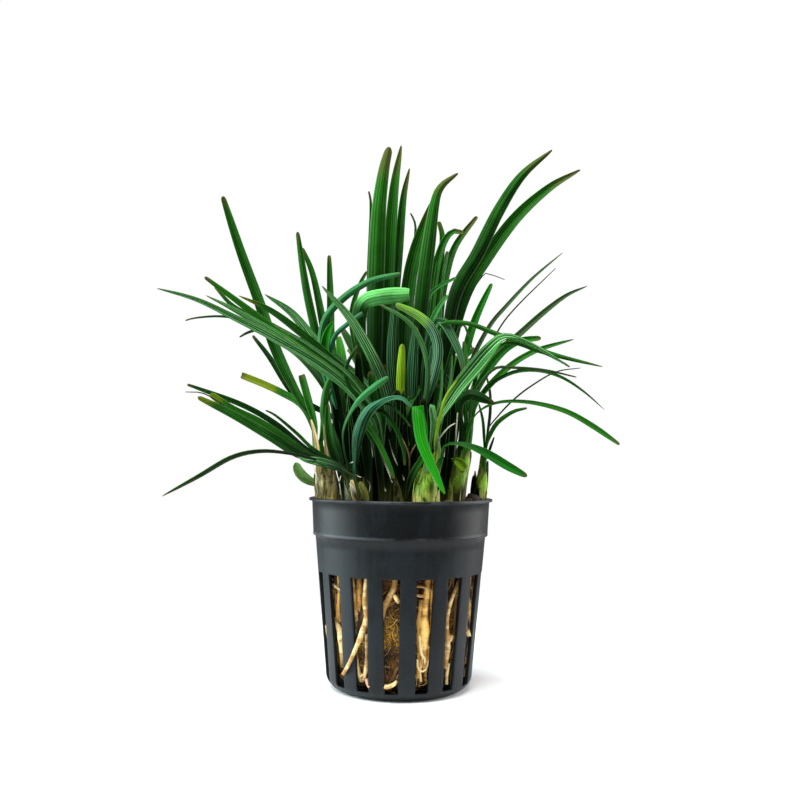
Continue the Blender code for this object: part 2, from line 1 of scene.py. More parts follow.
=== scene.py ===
# %% [markdown]
# # A potted mondo grass
#
# Mondo grass is a tuft of strap leaves. Every leaf starts as a sheath wrapped round a short
# shoot, leaves it a little above the growing wool and arches out. It is sold in a net pot, a thin
# plastic cup whose slots let the roots reach the water.
#
# The plain solids of the plant are loaded first. Each cell after that dresses some of them with
# a finer mesh and a finish. All of it grows from rules: a leaf is a route with a width, a twist
# and a channel, a root is a route with a thickness, and the pot is one eighth of a cup, repeated.

# %% Load the solids
import math
from random import Random
from typing import NamedTuple

import bmesh
import bpy
from mathutils import Matrix, Vector


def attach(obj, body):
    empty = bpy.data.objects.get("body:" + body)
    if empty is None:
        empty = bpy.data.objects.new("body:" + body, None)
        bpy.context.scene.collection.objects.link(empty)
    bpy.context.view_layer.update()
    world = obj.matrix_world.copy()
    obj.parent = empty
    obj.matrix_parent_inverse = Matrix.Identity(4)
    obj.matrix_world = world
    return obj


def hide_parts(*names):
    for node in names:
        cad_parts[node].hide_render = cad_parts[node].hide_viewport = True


MM = 0.001

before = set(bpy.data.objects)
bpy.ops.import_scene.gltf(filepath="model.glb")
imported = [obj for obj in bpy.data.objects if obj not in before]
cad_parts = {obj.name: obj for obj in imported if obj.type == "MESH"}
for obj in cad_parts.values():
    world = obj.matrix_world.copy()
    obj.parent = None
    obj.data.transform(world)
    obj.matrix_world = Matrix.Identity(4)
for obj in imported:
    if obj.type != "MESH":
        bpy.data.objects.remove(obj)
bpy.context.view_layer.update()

# %% [markdown]
# ## Sums on sockets
#
# Both the shapes and the finishes are made with nodes. Nodes could be added one by one and linked
# by hand, but a formula of ten nodes is then thirty lines long. So one small class wraps a socket:
# Python's own signs on it add the Math or Vector Math nodes, and its method `node` adds any other
# kind. A formula then reads as it would on paper.

# %% A class that wraps a socket
def pick(sockets, key):
    """The socket with that number, or the one in use that has that name."""
    if isinstance(key, int):
        return sockets[key]
    return next(s for s in sockets if s.name == key and s.enabled)


def is_vector(term):
    """Whether one term of a sum is a vector or a colour."""
    if isinstance(term, Net):
        return term.socket.type in ("VECTOR", "RGBA")
    return isinstance(term, (tuple, Vector))


class Net:
    """A socket in a node tree. Signs on it add nodes, and node() adds any other node."""

    def __init__(self, tree, socket=None):
        self.tree, self.socket = tree, socket

    def node(self, kind, settings=None, sockets=None, output=0):
        """Adds a node: first its settings, then its sockets' values or links."""
        made = self.tree.nodes.new(kind)
        for name, value in (settings or {}).items():
            if name == "stops":
                set_stops(made.color_ramp.elements, value)
            else:
                setattr(made, name, value)
        for key, value in (sockets or {}).items():
            if isinstance(value, Net):
                self.tree.links.new(value.socket, pick(made.inputs, key))
            else:
                pick(made.inputs, key).default_value = value
        return Net(self.tree, pick(made.outputs, output)) if made.outputs else None

    def out(self, name):
        """Another output of the same node."""
        return Net(self.tree, pick(self.socket.node.outputs, name))

    def sign(self, operation, first, second):
        """The node for one sign between two terms, which may be sockets, vectors or numbers."""
        kinds = (is_vector(first), is_vector(second))
        if operation == "MULTIPLY" and kinds in ((True, False), (False, True)):
            vector, number = (first, second) if kinds[0] else (second, first)
            return self.node("ShaderNodeVectorMath", {"operation": "SCALE"}, {0: vector, 3: number})
        kind = "ShaderNodeVectorMath" if any(kinds) else "ShaderNodeMath"
        if any(kinds):
            first, second = (
                (term,) * 3 if isinstance(term, (int, float)) else term for term in (first, second)
            )
        return self.node(kind, {"operation": operation}, {0: first, 1: second})

    def __add__(self, other):
        return self.sign("ADD", self, other)

    def __radd__(self, other):
        return self.sign("ADD", other, self)

    def __sub__(self, other):
        return self.sign("SUBTRACT", self, other)

    def __rsub__(self, other):
        return self.sign("SUBTRACT", other, self)

    def __mul__(self, other):
        return self.sign("MULTIPLY", self, other)

    def __rmul__(self, other):
        return self.sign("MULTIPLY", other, self)

    def __truediv__(self, other):
        return self.sign("DIVIDE", self, other)

    def __rtruediv__(self, other):
        return self.sign("DIVIDE", other, self)

    def __pow__(self, power):
        return self.sign("POWER", self, power)

    def does(self, operation, *others):
        """A Math node that has no sign of its own, such as COSINE or MINIMUM."""
        sockets = {k: term for k, term in enumerate((self, *others))}
        return self.node("ShaderNodeMath", {"operation": operation}, sockets)

    def between(self, low, high):
        """0 below low, 1 above high, and a soft step from one to the other."""
        return self.node(
            "ShaderNodeMapRange", {"interpolation_type": "SMOOTHSTEP"},
            {"Value": self, "From Min": low, "From Max": high},
        )

    def mix(self, first, second):
        """This share of the second colour over the first one."""
        return self.node(
            "ShaderNodeMix", {"data_type": "RGBA"}, {"Factor": self, "A": first, "B": second}, "Result",
        )

    def noise(self, scale, detail=2.0, roughness=0.5):
        """Cloudy noise from 0 to 1 at this place."""
        return self.node(
            "ShaderNodeTexNoise", {},
            {"Vector": self, "Scale": scale, "Detail": detail, "Roughness": roughness},
        )

    def vector(self, x, y, z):
        """A vector made of three numbers or sockets."""
        return self.node("ShaderNodeCombineXYZ", {}, {"X": x, "Y": y, "Z": z})

    def part(self, letter):
        """The X, Y or Z of a vector."""
        return self.node("ShaderNodeSeparateXYZ", {}, {"Vector": self}, letter)

    def bump(self, strength, depth):
        """Fine relief from this height, for Normal; the depth is in millimetres."""
        return self.node("ShaderNodeBump", {}, {"Strength": strength, "Distance": depth * MM, "Height": self})


def set_stops(elements, stops):
    """Gives a colour ramp these (place, colour) stops."""
    while len(elements) > 1:
        elements.remove(elements[-1])
    elements[0].position, elements[0].color = stops[0]
    for at, colour in stops[1:]:
        elements.new(at).color = colour


print("methods of Net:", [name for name, made in vars(Net).items() if callable(made)])

# %% [markdown]
# ## Geometry trees
#
# A leaf, a root, a fibre of wool and the slots of the pot all repeat, so their meshes come from
# Geometry Nodes. Each tree is built here in the script, with a named input for every size, and
# ends in Realize Instances and Set Material. A helper runs a tree on a mesh, keeps the result as
# a plain mesh and throws the modifier away, because a plain mesh is what a model file can hold.

# %% Start, end and run a geometry tree
def new_tree(name, sizes):
    """Starts a geometry tree that has these named sizes and a finish as its inputs."""
    tree = bpy.data.node_groups.new(name, "GeometryNodeTree")
    tree.interface.new_socket("Geometry", in_out="INPUT", socket_type="NodeSocketGeometry")
    for label, value in sizes.items():
        kind = "NodeSocketInt" if isinstance(value, int) else "NodeSocketFloat"
        tree.interface.new_socket(label, in_out="INPUT", socket_type=kind).default_value = value
    tree.interface.new_socket("Finish", in_out="INPUT", socket_type="NodeSocketMaterial")
    tree.interface.new_socket("Geometry", in_out="OUTPUT", socket_type="NodeSocketGeometry")
    return Net(tree).node("NodeGroupInput")


def end_tree(inputs, shape):
    """Ends a geometry tree: real smooth faces in one finish."""
    real = inputs.node("GeometryNodeRealizeInstances", {}, {"Geometry": shape})
    smooth = inputs.node("GeometryNodeSetShadeSmooth", {}, {"Geometry": real})
    painted = inputs.node(
        "GeometryNodeSetMaterial", {}, {"Geometry": smooth, "Material": inputs.out("Finish")}
    )
    inputs.node("NodeGroupOutput", {}, {"Geometry": painted})
    print(f"tree {inputs.tree.name}: {len(inputs.tree.nodes)} nodes")
    return inputs.tree


def named(net, label, kind="FLOAT"):
    """Reads a value that the points of a mesh or curve carry."""
    return net.node("GeometryNodeInputNamedAttribute", {"data_type": kind}, {"Name": label}, "Attribute")


def stored(net, shape, label, value, kind="FLOAT", domain="POINT"):
    """Stores a value on the points of a mesh or curve, under a name."""
    return net.node(
        "GeometryNodeStoreNamedAttribute", {"data_type": kind, "domain": domain},
        {"Geometry": shape, "Name": label, "Value": value},
    )


def random_value(net, low, high, seed):
    """A random number or vector for every copy."""
    kind = "FLOAT_VECTOR" if isinstance(low, tuple) else "FLOAT"
    sockets = {"Min": low, "Max": high, "Seed": seed}
    return net.node("FunctionNodeRandomValue", {"data_type": kind}, sockets, "Value")


def in_scene(name, data):
    """A new object in the scene that shows this mesh, lamp or camera."""
    obj = bpy.data.objects.new(name, data)
    bpy.context.scene.collection.objects.link(obj)
    return obj


def keep_result(obj):
    """Makes what an object's modifiers give its plain mesh, and removes them."""
    graph = bpy.context.evaluated_depsgraph_get()
    plain = bpy.data.meshes.new_from_object(
        obj.evaluated_get(graph), preserve_all_data_layers=True, depsgraph=graph
    )
    obj.modifiers.clear()
    obj.data = plain


def grow(name, mesh, tree, **sizes):
    """Runs a tree on a mesh and returns what it makes as an object with a plain mesh."""
    obj = in_scene(name, mesh)
    modifier = obj.modifiers.new("grow", "NODES")
    modifier.node_group = tree
    sockets = {item.name: item.identifier for item in tree.interface.items_tree if item.in_out == "INPUT"}
    for label, value in sizes.items():
        modifier[sockets[label.replace("_", " ").capitalize()]] = value
    keep_result(obj)
    face_outwards(obj.data)
    return obj


def face_outwards(mesh):
    """Turns every face of a closed mesh outwards."""
    shape = bmesh.new()
    shape.from_mesh(mesh)
    bmesh.ops.recalc_face_normals(shape, faces=shape.faces)
    shape.to_mesh(mesh)
    shape.free()


def as_mesh(name, shape):
    """A new mesh from a shape that was built face by face."""
    mesh = bpy.data.meshes.new(name)
    shape.to_mesh(mesh)
    shape.free()
    return mesh


def hand_in(obj, slot, *nodes):
    """Fixes a finished piece to the plant's one body and hides the solids that it dresses. slot is not used.
    """
    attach(obj, "root")
    if nodes:
        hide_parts(*nodes)


# %% [markdown]
# ## Strands
#
# Leaves, stems and roots are all long and thin. Curves with a bevel could draw them, but a curve
# carries only a radius and a tilt. Here each one starts as a strand, a line of mesh points, and
# every point carries whatever its tree needs there: the width, the channel, which way the blade
# faces, and how far along the strand it is. A tree can sweep any number of strands at once.

# %% Lines of points that carry values
def strands_mesh(name, strands):
    """A mesh of separate lines; each value in a row is stored on that row's point."""
    mesh = bpy.data.meshes.new(name)
    rows = [row for strand in strands for row in strand]
    edges, first = [], 0
    for strand in strands:
        edges += [(k, k + 1) for k in range(first, first + len(strand) - 1)]
        first += len(strand)
    mesh.from_pydata([row["centre"] for row in rows], edges, [])
    for label, sample in rows[0].items():
        if isinstance(sample, Vector):
            data = mesh.attributes.new(label, "FLOAT_VECTOR", "POINT").data
            data.foreach_set("vector", [v for row in rows for v in row[label]])
        else:
            data = mesh.attributes.new(label, "FLOAT", "POINT").data
            data.foreach_set("value", [row[label] for row in rows])
    return mesh


def grow_strands(name, strands, tree, **sizes):
    """One piece that a tree grows from these strands."""
    return grow(name, strands_mesh(name, strands), tree, **sizes)


def smooth_step(t):
    """0 to 1 with no kink at either end."""
    t = max(0.0, min(1.0, t))
    return t * t * (3 - 2 * t)


def running_length(points):
    """How far along the straight legs through the points each point is."""
    run = [0.0]
    for a, b in zip(points, points[1:]):
        run.append(run[-1] + (b - a).length)
    return run


def smooth_through(points, count):
    """Places on one smooth curve through the points, evenly spaced along it."""
    fine_steps = 24
    ends = [2 * points[0] - points[1], *points, 2 * points[-1] - points[-2]]
    fine = []
    for before, start, end, after in zip(ends, ends[1:], ends[2:], ends[3:]):
        for step in range(fine_steps):
            t = step / fine_steps
            fine.append(
                0.5 * (2 * start + (end - before) * t
                       + (2 * before - 5 * start + 4 * end - after) * t ** 2
                       + (3 * start - before - 3 * end + after) * t ** 3)
            )
    fine.append(points[-1])
    run = running_length(fine)
    places, at = [], 0
    for k in range(count):
        wanted = run[-1] * k / (count - 1)
        while at < len(run) - 2 and run[at + 1] < wanted:
            at += 1
        share = (wanted - run[at]) / (run[at + 1] - run[at])
        places.append(fine[at].lerp(fine[at + 1], min(1.0, share)))
    return places


# %% [markdown]
# ## The eye
#
# The plant was drawn as it is seen from one place in front of it. A point of a route is (across,
# up, depth) in millimetres: across and up are where the eye sees it in the upright plane through
# the pot's middle, and depth is how far behind that plane it really is. The same eye becomes the
# camera at the end, so what was drawn is also what is seen.

# %% From what the eye sees to where it is
FRONT_EYE = Vector((-0.5, -254.0, 61.4)) * MM


def in_space(point):
    """The place in metres of a route point (across, up, depth) in millimetres."""
    if isinstance(point, Vector):
        return point
    across, up, depth = point
    seen = Vector((across, 0.0, up)) * MM
    sight = (seen - FRONT_EYE) / -FRONT_EYE.y
    return FRONT_EYE + sight * (depth * MM - FRONT_EYE.y)


nearer = -FRONT_EYE.y / (-FRONT_EYE.y - 20 * MM)
print("a point 20 mm in front of the plane is drawn", round(nearer, 3), "times as large")

# %% [markdown]
# ## Shoots
#
# A shoot is the short stem that carries one fan of leaves. The eleven shoots stand close together
# in the wool, and each name says where. Their routes and radii are the same as those of the
# solids, because every leaf has to start from the right one.

# %% The shoots' routes
WOOL_TOP = 48.6 * MM
GAP = 0.3 * MM


class Shoot(NamedTuple):
    """A shoot's stem: the points that it goes through and its radius at each, in millimetres."""

    name: str
    route: tuple
    radii: tuple


SHOOTS = (
    Shoot("left", ((-20.2, 49.2, -1), (-20.5, 54, -1), (-21.5, 59, -1), (-22.9, 65, -1)),
          (2.4, 2.5, 2.1, 1.3)),
    Shoot("front_left", ((-12.2, 49.2, -13), (-12.6, 54, -13), (-13.2, 58, -13)), (1.8, 1.9, 1.4)),
    Shoot("centre", ((-2.6, 49.2, -8), (-3.0, 54, -8), (-3.8, 60, -8.5)), (2.0, 2.1, 1.4)),
    Shoot("mid", ((2.5, 49.2, 2), (2.8, 56, 2), (3.2, 63, 1.5)), (2.0, 2.0, 1.3)),
    Shoot("front_right", ((7.0, 49.2, -14), (7.2, 54, -14), (8.6, 62, -13.4)), (2.7, 2.5, 1.5)),
    Shoot("thick", ((14.7, 49.2, -4), (15.4, 56, -4), (16.9, 63, -3.6), (17.8, 69.5, -3)),
          (2.1, 2.1, 1.8, 1.3)),
    Shoot("right", ((21.6, 49.2, 3), (22.2, 56, 3), (22.9, 63.5, 3)), (1.1, 1.1, 0.8)),
    Shoot("tall", ((-5.2, 49.2, 8), (-5.4, 57, 8), (-6.0, 66, 7.5)), (2.2, 2.2, 1.6)),
    Shoot("back_right", ((9.6, 49.2, 9), (9.8, 57, 9), (10.8, 66, 9.5)), (2.2, 2.2, 1.5)),
    Shoot("back_left", ((-13.6, 49.2, 8), (-14.2, 57, 8.5), (-15.6, 66, 9)), (2.0, 2.0, 1.3)),
    Shoot("back", ((2.0, 49.2, 17), (2.0, 55, 17.5), (1.6, 62, 18.5)), (2.0, 2.0, 1.3)),
)
SHOOT_NAMED = {shoot.name: shoot for shoot in SHOOTS}
# How pale and how lit the foot of each shoot is, from 0 to 1: a low value gives the feet of hidden
# shoots and their leaves painted shade. A leaf without a shoot counts as hidden too.
HIDDEN_PALENESS_AND_LIGHT = 0.05
PALENESS_AND_LIGHT = dict.fromkeys((*SHOOT_NAMED, ""), HIDDEN_PALENESS_AND_LIGHT) | {
    "left": 1.0, "front_left": 0.1, "front_right": 1.0, "thick": 0.95, "right": 1.0, "centre": 0.25,
}


def shoot_axis(shoot):
    """A shoot's middle line in space, from just inside the wool to its top."""
    axis = [in_space(p) for p in shoot.route]
    axis[0].z = WOOL_TOP - GAP
    return axis


print(len(SHOOTS), "shoots")

# %% [markdown]
# ## Main leaves
#
# The big leaves were drawn one by one, because the outline of the tuft is the look of this plant:
# two bundles of tall straight leaves, a band of narrow ones that leans to the left, and arching
# ones with drooping tips. Each leaf has its route from the foot to the tip, its width, how far it
# turns away from the front, and the name of its finish.

# %% What describes a leaf
class Leaf(NamedTuple):
    """A strap leaf. Its foot sits on its shoot; the route is the rest of it, to the tip.

    width is its widest, in millimetres. turn is how far the blade is turned away from facing
    the front, in degrees, at even steps from its foot to its tip. tip is the share of the
    width that is left at the end: little on a pointed leaf, nearly all on a cut one. widest is
    where along the leaf it is broadest, and foot is where it leaves the shoot, in millimetres
    from the middle of the shoot's top.
    """

    name: str
    shoot: str
    finish: str
    width: float
    turn: tuple
    route: tuple
    tip: float = 0.12
    widest: float = 0.4
    foot: tuple = ()


# %% Leaves of the four shoots on the left
LEFT_LEAVES = (
    # Shoot at the left edge
    Leaf("left_tall", "left", "green", 3.3, (15, 5), ((-25.3, 73.4, 2), (-28.2, 78, 3), (-34.7, 91, 4),
         (-40.4, 106, 3), (-45.9, 120.2, 1), (-51.3, 135.6, -2))),
    Leaf("left_cut", "left", "olive", 2.2, (20, 10), ((-24.9, 72, 7), (-28, 76.9, 10), (-33.1, 79.9, 13),
         (-38.8, 82.5, 15), (-44.8, 84.8, 17)), 0.95, 0.3),
    Leaf("left_inner", "left", "green", 2.7, (10, 30), ((-21.5, 70, -4.5), (-21.9, 76, -7),
         (-21.3, 81.5, -9), (-19.5, 85.6, -10))),
    # Shoot at the front left, whose leaves reach far out to the left
    Leaf("low_left", "front_left", "gold_tip", 2.6, (20, 0), ((-17.4, 59.1, -15.5), (-23.5, 61.2, -16.5),
         (-29.5, 63.3, -17), (-36.6, 67.7, -18), (-46.9, 73.6, -19), (-57, 78.5, -20)), 0.4),
    Leaf("low_left_upper", "front_left", "gold_tip", 2.5, (30, 0), ((-18.6, 60, -12), (-25.4, 62.7, -11),
         (-31.9, 67, -10), (-39.4, 71.6, -10), (-47, 75.2, -10), (-53.5, 79.4, -10)), 0.65),
    Leaf("droop_left", "front_left", "dusky", 1.5, (60, 35), ((-18, 59.2, -19), (-25, 61.6, -22),
         (-32.8, 63.1, -25), (-40, 63.3, -27), (-47.4, 61.4, -29), (-56, 56.4, -31), (-66.2, 50.8, -34)),
         0.08, 0.65),
    Leaf("teal_arch", "front_left", "teal", 3.3, (50, 10, 20, 60, 70), ((-12.7, 64, -16), (-11.9, 70, -18),
         (-9.2, 75.6, -20), (-4.5, 78.8, -21.5), (0, 79.2, -22.5), (3, 76.4, -23))),
    Leaf("front_arch", "front_left", "arch", 1.9, (84, 84, 70, 20, 0), ((-16, 64, -16.5), (-16.3, 70, -19),
         (-13.6, 76.4, -22), (-9.2, 80.9, -24), (-3.8, 84.7, -26)), 0.2, 0.8),
    # Shoot in the middle of the front, whose leaves lean across to the left
    Leaf("diagonal_low", "centre", "striped", 2.9, (20, 50), ((-7.8, 71, -12), (-15, 81, -15),
         (-23.8, 88, -18), (-35.2, 94.5, -21), (-46.6, 100.3, -24), (-58, 105.7, -27), (-69.2, 109, -30)),
         0.06),
    Leaf("diagonal_long", "centre", "green", 2.3, (10, 10), ((-6.2, 71, -9.6), (-13, 80.4, -11),
         (-21.6, 87.4, -12), (-31, 93.9, -13.5), (-42.9, 102.9, -15), (-55.9, 112.4, -17))),
    Leaf("yellow_tip", "centre", "gold_tip", 2.3, (30, 10), ((-5.2, 71, -6.4), (-11.4, 82, -6),
         (-20.2, 90.2, -6), (-28.7, 97.2, -6), (-37.3, 103.3, -6), (-46.2, 107.2, -6)), 0.05, 0.6),
    Leaf("light_left", "centre", "striped", 3.2, (40, 10), ((-3.8, 72, -4), (-9.4, 82, -1),
         (-16.4, 88, 0.5), (-23.6, 93.9, 1.5), (-31, 102.4, 1.5), (-38.9, 107.7, 1)), 0.03, 0.55),
    Leaf("striped", "centre", "half_striped", 3.1, (0, 0), ((-3.2, 71, -13), (-4.2, 80, -17),
         (-7.4, 88.3, -20), (-12.5, 97.8, -22), (-16.2, 103, -22.5), (-22.8, 110.2, -23)), 0.06),
    # Shoot at the back left
    Leaf("left_upright", "back_left", "green", 2.6, (10, 0), ((-18.2, 76, 8), (-22.2, 88, 7),
         (-25.4, 101, 6), (-27.6, 111, 5), (-30, 125.6, 4))),
    Leaf("left_second", "back_left", "green", 2.5, (20, 0), ((-17.5, 76, 11), (-20.4, 90, 12),
         (-23.3, 104.6, 12), (-25.6, 114, 12), (-28.6, 121, 12))),
    Leaf("left_short", "back_left", "green", 2.6, (0, 0), ((-16.8, 78, 13), (-19.8, 93, 16),
         (-20.3, 106, 18), (-20.9, 119, 19)), foot=(-0.4, 2.2, 0.3)),
    Leaf("mint_arch", "back_left", "arch", 2.5, (50, 0), ((-19.5, 76, 4), (-22.8, 90, -1),
         (-22.4, 99.6, -4), (-18, 105.9, -7), (-10, 111.5, -10), (-0.7, 114, -12)), 0.4),
    Leaf("back_left", "back_left", "green", 2.8, (10, 30), ((-17, 74, 17), (-19, 84, 28), (-19, 90, 40),
         (-17, 90, 52)), foot=(0.5, 3.6, -1.2)),
)
print(len(LEFT_LEAVES), "leaves on the left")

# %% Leaves of the tall shoot and the middle one
MIDDLE_LEAVES = (
    # Tall shoot
    Leaf("tall_broad", "tall", "tall", 5.0, (0, 0), ((-7.4, 80, 6), (-7.9, 98, 5), (-7.6, 115, 4),
         (-7.1, 132, 3), (-5.8, 143.7, 2.4), (-4.3, 150.4, 2)), 0.2, 0.5, foot=(-0.4, -2.4, 0.3)),
    Leaf("tall_second", "tall", "tall", 3.5, (0, 0), ((-5, 80, 9), (-4.2, 100, 9.5), (-3.8, 120.7, 10),
         (-2.8, 138, 10), (-0.9, 150.8, 10)), 0.1, 0.66, foot=(0.4, 2.3, 0.3)),
    Leaf("tall_third", "tall", "tall", 2.6, (10, 0), ((-3.9, 80, 12), (-2.4, 100, 14), (-1.2, 120.7, 15),
         (-0.2, 135, 15.5), (1.5, 144.2, 16)), 0.1, 0.72, foot=(0.8, 3.5, -0.6)),
    Leaf("folded", "tall", "mint_end", 4.6, (20, 0), ((-9, 78, 3), (-11.4, 91, 0), (-12.4, 101, -3),
         (-10.8, 106, -5.5), (-5.5, 107.6, -8), (1.7, 108.2, -10)), 0.8, 0.88, foot=(-3.3, -1.2, -0.4)),
    # Shoot in the middle
    Leaf("mid_left", "mid", "shade_striped", 3.1, (0, 0), ((0.8, 72, -1), (-2.2, 83, -3), (-3, 93, -5),
         (-2.2, 106, -7))),
    Leaf("centre_broad", "mid", "tall", 4.2, (0, 0), ((3.6, 74, 0), (4.2, 90, -2), (5.3, 106, -4),
         (7, 121, -6), (8.7, 134, -7), (10.6, 139.2, -7.5), (15.3, 143, -8)), 0.1, 0.55),
    Leaf("centre_second", "mid", "tall", 4.2, (10, 0), ((2.4, 76, 4), (0.7, 94, 5), (1.6, 110, 5),
         (3.6, 121, 4), (8, 135, 2)), 0.1, 0.6),
    Leaf("arch_fine", "mid", "striped", 1.5, (30, 0), ((5, 72, -3), (7, 82, -7.5), (6.8, 89.5, -10.5),
         (4, 97.3, -13), (0, 101.6, -15), (-6.2, 105, -17)), foot=(1.8, -2.1, -0.8)),
    Leaf("arch_lime", "mid", "lime_end", 3.0, (35, 10), ((5.4, 74, -2), (8, 83, -6), (9.8, 91.5, -8),
         (8.5, 97.6, -9.4), (4.4, 102, -10.8), (-2, 105.2, -12.5)), 0.3, 0.6),
)
print(len(MIDDLE_LEAVES), "leaves in the middle")

# %% Leaves of the four shoots on the right
RIGHT_LEAVES = (
    # Shoot at the back right
    Leaf("right_tall", "back_right", "tall", 4.0, (0, 0), ((12, 80, 8), (12.6, 95, 6), (15, 109, 4),
         (21, 120, 2), (27, 132.5, 0), (33.5, 142.6, -2), (42, 150, -4)), 0.1, 0.55, foot=(0.6, -2.1, 0.3)),
    Leaf("right_tall_outer", "back_right", "tall", 3.9, (5, 0), ((12.8, 78, 12), (14, 94, 12),
         (17.5, 108, 11), (23.7, 119, 10), (31.6, 130, 9), (41, 138.8, 8), (50, 144.3, 7)), 0.1, 0.55,
         foot=(2.7, 0.0, -0.3)),
    Leaf("back_point", "back_right", "tall", 2.8, (0, 10), ((9.8, 82, 16), (10.4, 102.6, 19),
         (12.1, 113.4, 20), (14.8, 122, 21), (20.8, 130.5, 22)), foot=(-0.9, 2.3, 0.4)),
    Leaf("bright_short", "back_right", "vivid", 2.5, (0, 10), ((15, 80, 14), (18, 93, 16.5),
         (20.6, 101.5, 19), (25, 111.4, 21)), 0.12, 0.6, foot=(1.3, 2.5, -0.4)),
    Leaf("right_fine", "back_right", "dusky", 1.6, (20, 35), ((15.5, 75, 16), (19, 88, 22),
         (24.2, 98.7, 25), (29.5, 105.3, 27), (36.4, 112.8, 30), (45, 120.4, 32)), 0.1,
         foot=(2.9, 2.6, -2.5)),
    Leaf("right_over", "back_right", "green", 1.5, (30, 0), ((8.6, 78, 4), (7.4, 91, -2), (10.5, 99.4, -7),
         (18, 100.2, -10), (26, 97.4, -12), (35.8, 93.9, -14), (43.2, 91.3, -15), (56.1, 88.2, -17)), 0.1,
         0.7, foot=(-2.3, -0.9, 0)),
    # Shoot at the front right
    Leaf("bright_front", "front_right", "vivid", 3.2, (70, 8, 0, 6, 10), ((6.4, 69, -15), (5, 74.6, -16.5),
         (4.6, 76.6, -18.5), (4.7, 73, -20.5), (6.2, 65.5, -22.5), (12.2, 52.3, -26)), 0.11, 0.5),
    Leaf("broad_right", "front_right", "striped", 4.2, (20, 15, 15, 72, 76), ((10.2, 71.5, -14),
         (14.6, 80, -15), (20.6, 87.6, -16), (25, 92.6, -17), (29.2, 95.7, -17.5), (35.8, 93.9, -17),
         (46.7, 88.2, -16)), 0.1, 0.5),
    Leaf("low_right", "front_right", "emerald", 2.6, (75, 0), ((12, 65.4, -15.5), (16.6, 65.9, -17),
         (23, 63.6, -18.5), (29, 60.4, -20), (35, 57.4, -21)), 0.12, 0.6, foot=(2.6, -1.5, -0.8)),
    # Thick shoot
    Leaf("right_blunt", "thick", "emerald", 2.2, (30, 10), ((19.6, 77, -4.6), (23, 85, -7), (28, 91.8, -10),
         (33, 95.1, -12), (38.9, 96, -14)), 0.6),
    Leaf("right_long", "thick", "green", 2.0, (35, 20), ((20.8, 77, -2), (25.6, 83.5, -2), (31.5, 88.9, -2),
         (38, 92.6, -1), (48, 95.8, 0)), 0.1),
    Leaf("right_high", "thick", "dusky", 1.9, (20, 10), ((19.4, 80, 1), (24.6, 90.5, 4), (31.5, 95.9, 7),
         (39.4, 103.1, 10), (46, 108.2, 12), (52, 111, 14)), 0.05, 0.55),
    Leaf("right_arc", "thick", "green", 1.7, (40, 20), ((20.4, 74, -7.5), (24.5, 77, -9.5), (30, 78.1, -11),
         (38, 77.5, -13), (46, 75.3, -15), (53, 71.5, -16), (60.7, 66.4, -18)), 0.2, 0.8),
    Leaf("right_dark", "thick", "deep", 3.1, (20, 10), ((16, 74.6, -7), (16.4, 78.6, -9.5),
         (19.6, 80.2, -11.5), (26, 77.6, -13)), 0.06, 0.66),
)
print(len(RIGHT_LEAVES), "leaves on the right")

# %% Leaves that arch away behind
BACK_LEAVES = (
    # Shoot at the back
    Leaf("back_long", "back", "green", 3.2, (0, 20), ((-1, 72, 24), (-5, 84, 35), (-7.5, 92, 48),
         (-8, 93, 60))),
    Leaf("back_upright", "back", "green", 3.4, (0, 0), ((2.6, 74, 22), (4.6, 90, 28), (6.4, 104, 32),
         (8, 114, 35))),
)
MAIN_LEAVES = LEFT_LEAVES + MIDDLE_LEAVES + RIGHT_LEAVES + BACK_LEAVES
print(len(MAIN_LEAVES), "main leaves")

# %% [markdown]
# ## The shape of one leaf
#
# The lower end of a grass leaf is wrapped round its shoot. Higher up it opens to a shallow
# channel, widens, and narrows again to the tip. So every point of a leaf's strand carries half its
# width, how strongly it is bent into a channel, the direction across the blade and the one out of
# its hollow face. The hollow face looks at the shoot at the foot, and turns from there towards the
# side that the leaf shows.

# %% How wide a leaf is and where it starts
# The width at a leaf's foot, as a share of its widest
FOOT_SHARE = 0.4
# The least width before the end is rounded off, on every leaf but those with a hair-thin tip
END_SHARE, HAIR_TIP = 0.4, 0.12
# How far above its shoot's top the innermost leaf leaves it, and how far each next one is below
FOOT_RISE, FOOT_STEP = 0.4 * MM, 0.5 * MM
# How thick one wrapped layer is
LAYER = 0.13 * MM
# How strongly the section is bent where it is wrapped and where it is open
WRAP, CHANNEL = 1.9, 0.3


def blade_width(leaf, t):
    """A leaf's half width in metres at t, from 0 at its foot to 1 at its tip."""
    rise = FOOT_SHARE + (1 - FOOT_SHARE) * smooth_step(t / leaf.widest)
    past = max(0.0, (t - leaf.widest) / (1 - leaf.widest))
    end = leaf.tip if leaf.tip < HAIR_TIP else max(leaf.tip, END_SHARE)
    taper = end + (1 - end) * (1 - past ** 2.2) ** 0.75
    return leaf.width * MM / 2 * rise * taper


def leaf_foot(leaf, order, siblings):
    """Where a leaf leaves its shoot: on the side that it grows to, outer leaves lower down."""
    shoot = SHOOT_NAMED[leaf.shoot]
    top = in_space(shoot.route[-1])
    if leaf.foot:
        return top + Vector(leaf.foot) * MM
    aim = in_space(leaf.route[0]) - top
    aim.z = 0
    reach = shoot.radii[-1] * MM + blade_width(leaf, 0) + GAP
    below = (siblings - 1 - order) * FOOT_STEP
    return top + aim.normalized() * reach + Vector((0, 0, FOOT_RISE - below))


def radius_at(radii, share):
    """The radius in metres, share of the way along a list of radii in millimetres."""
    at = max(0.0, min(1.0, share)) * (len(radii) - 1)
    k = min(int(at), len(radii) - 2)
    return (radii[k] + (radii[k + 1] - radii[k]) * (at - k)) * MM


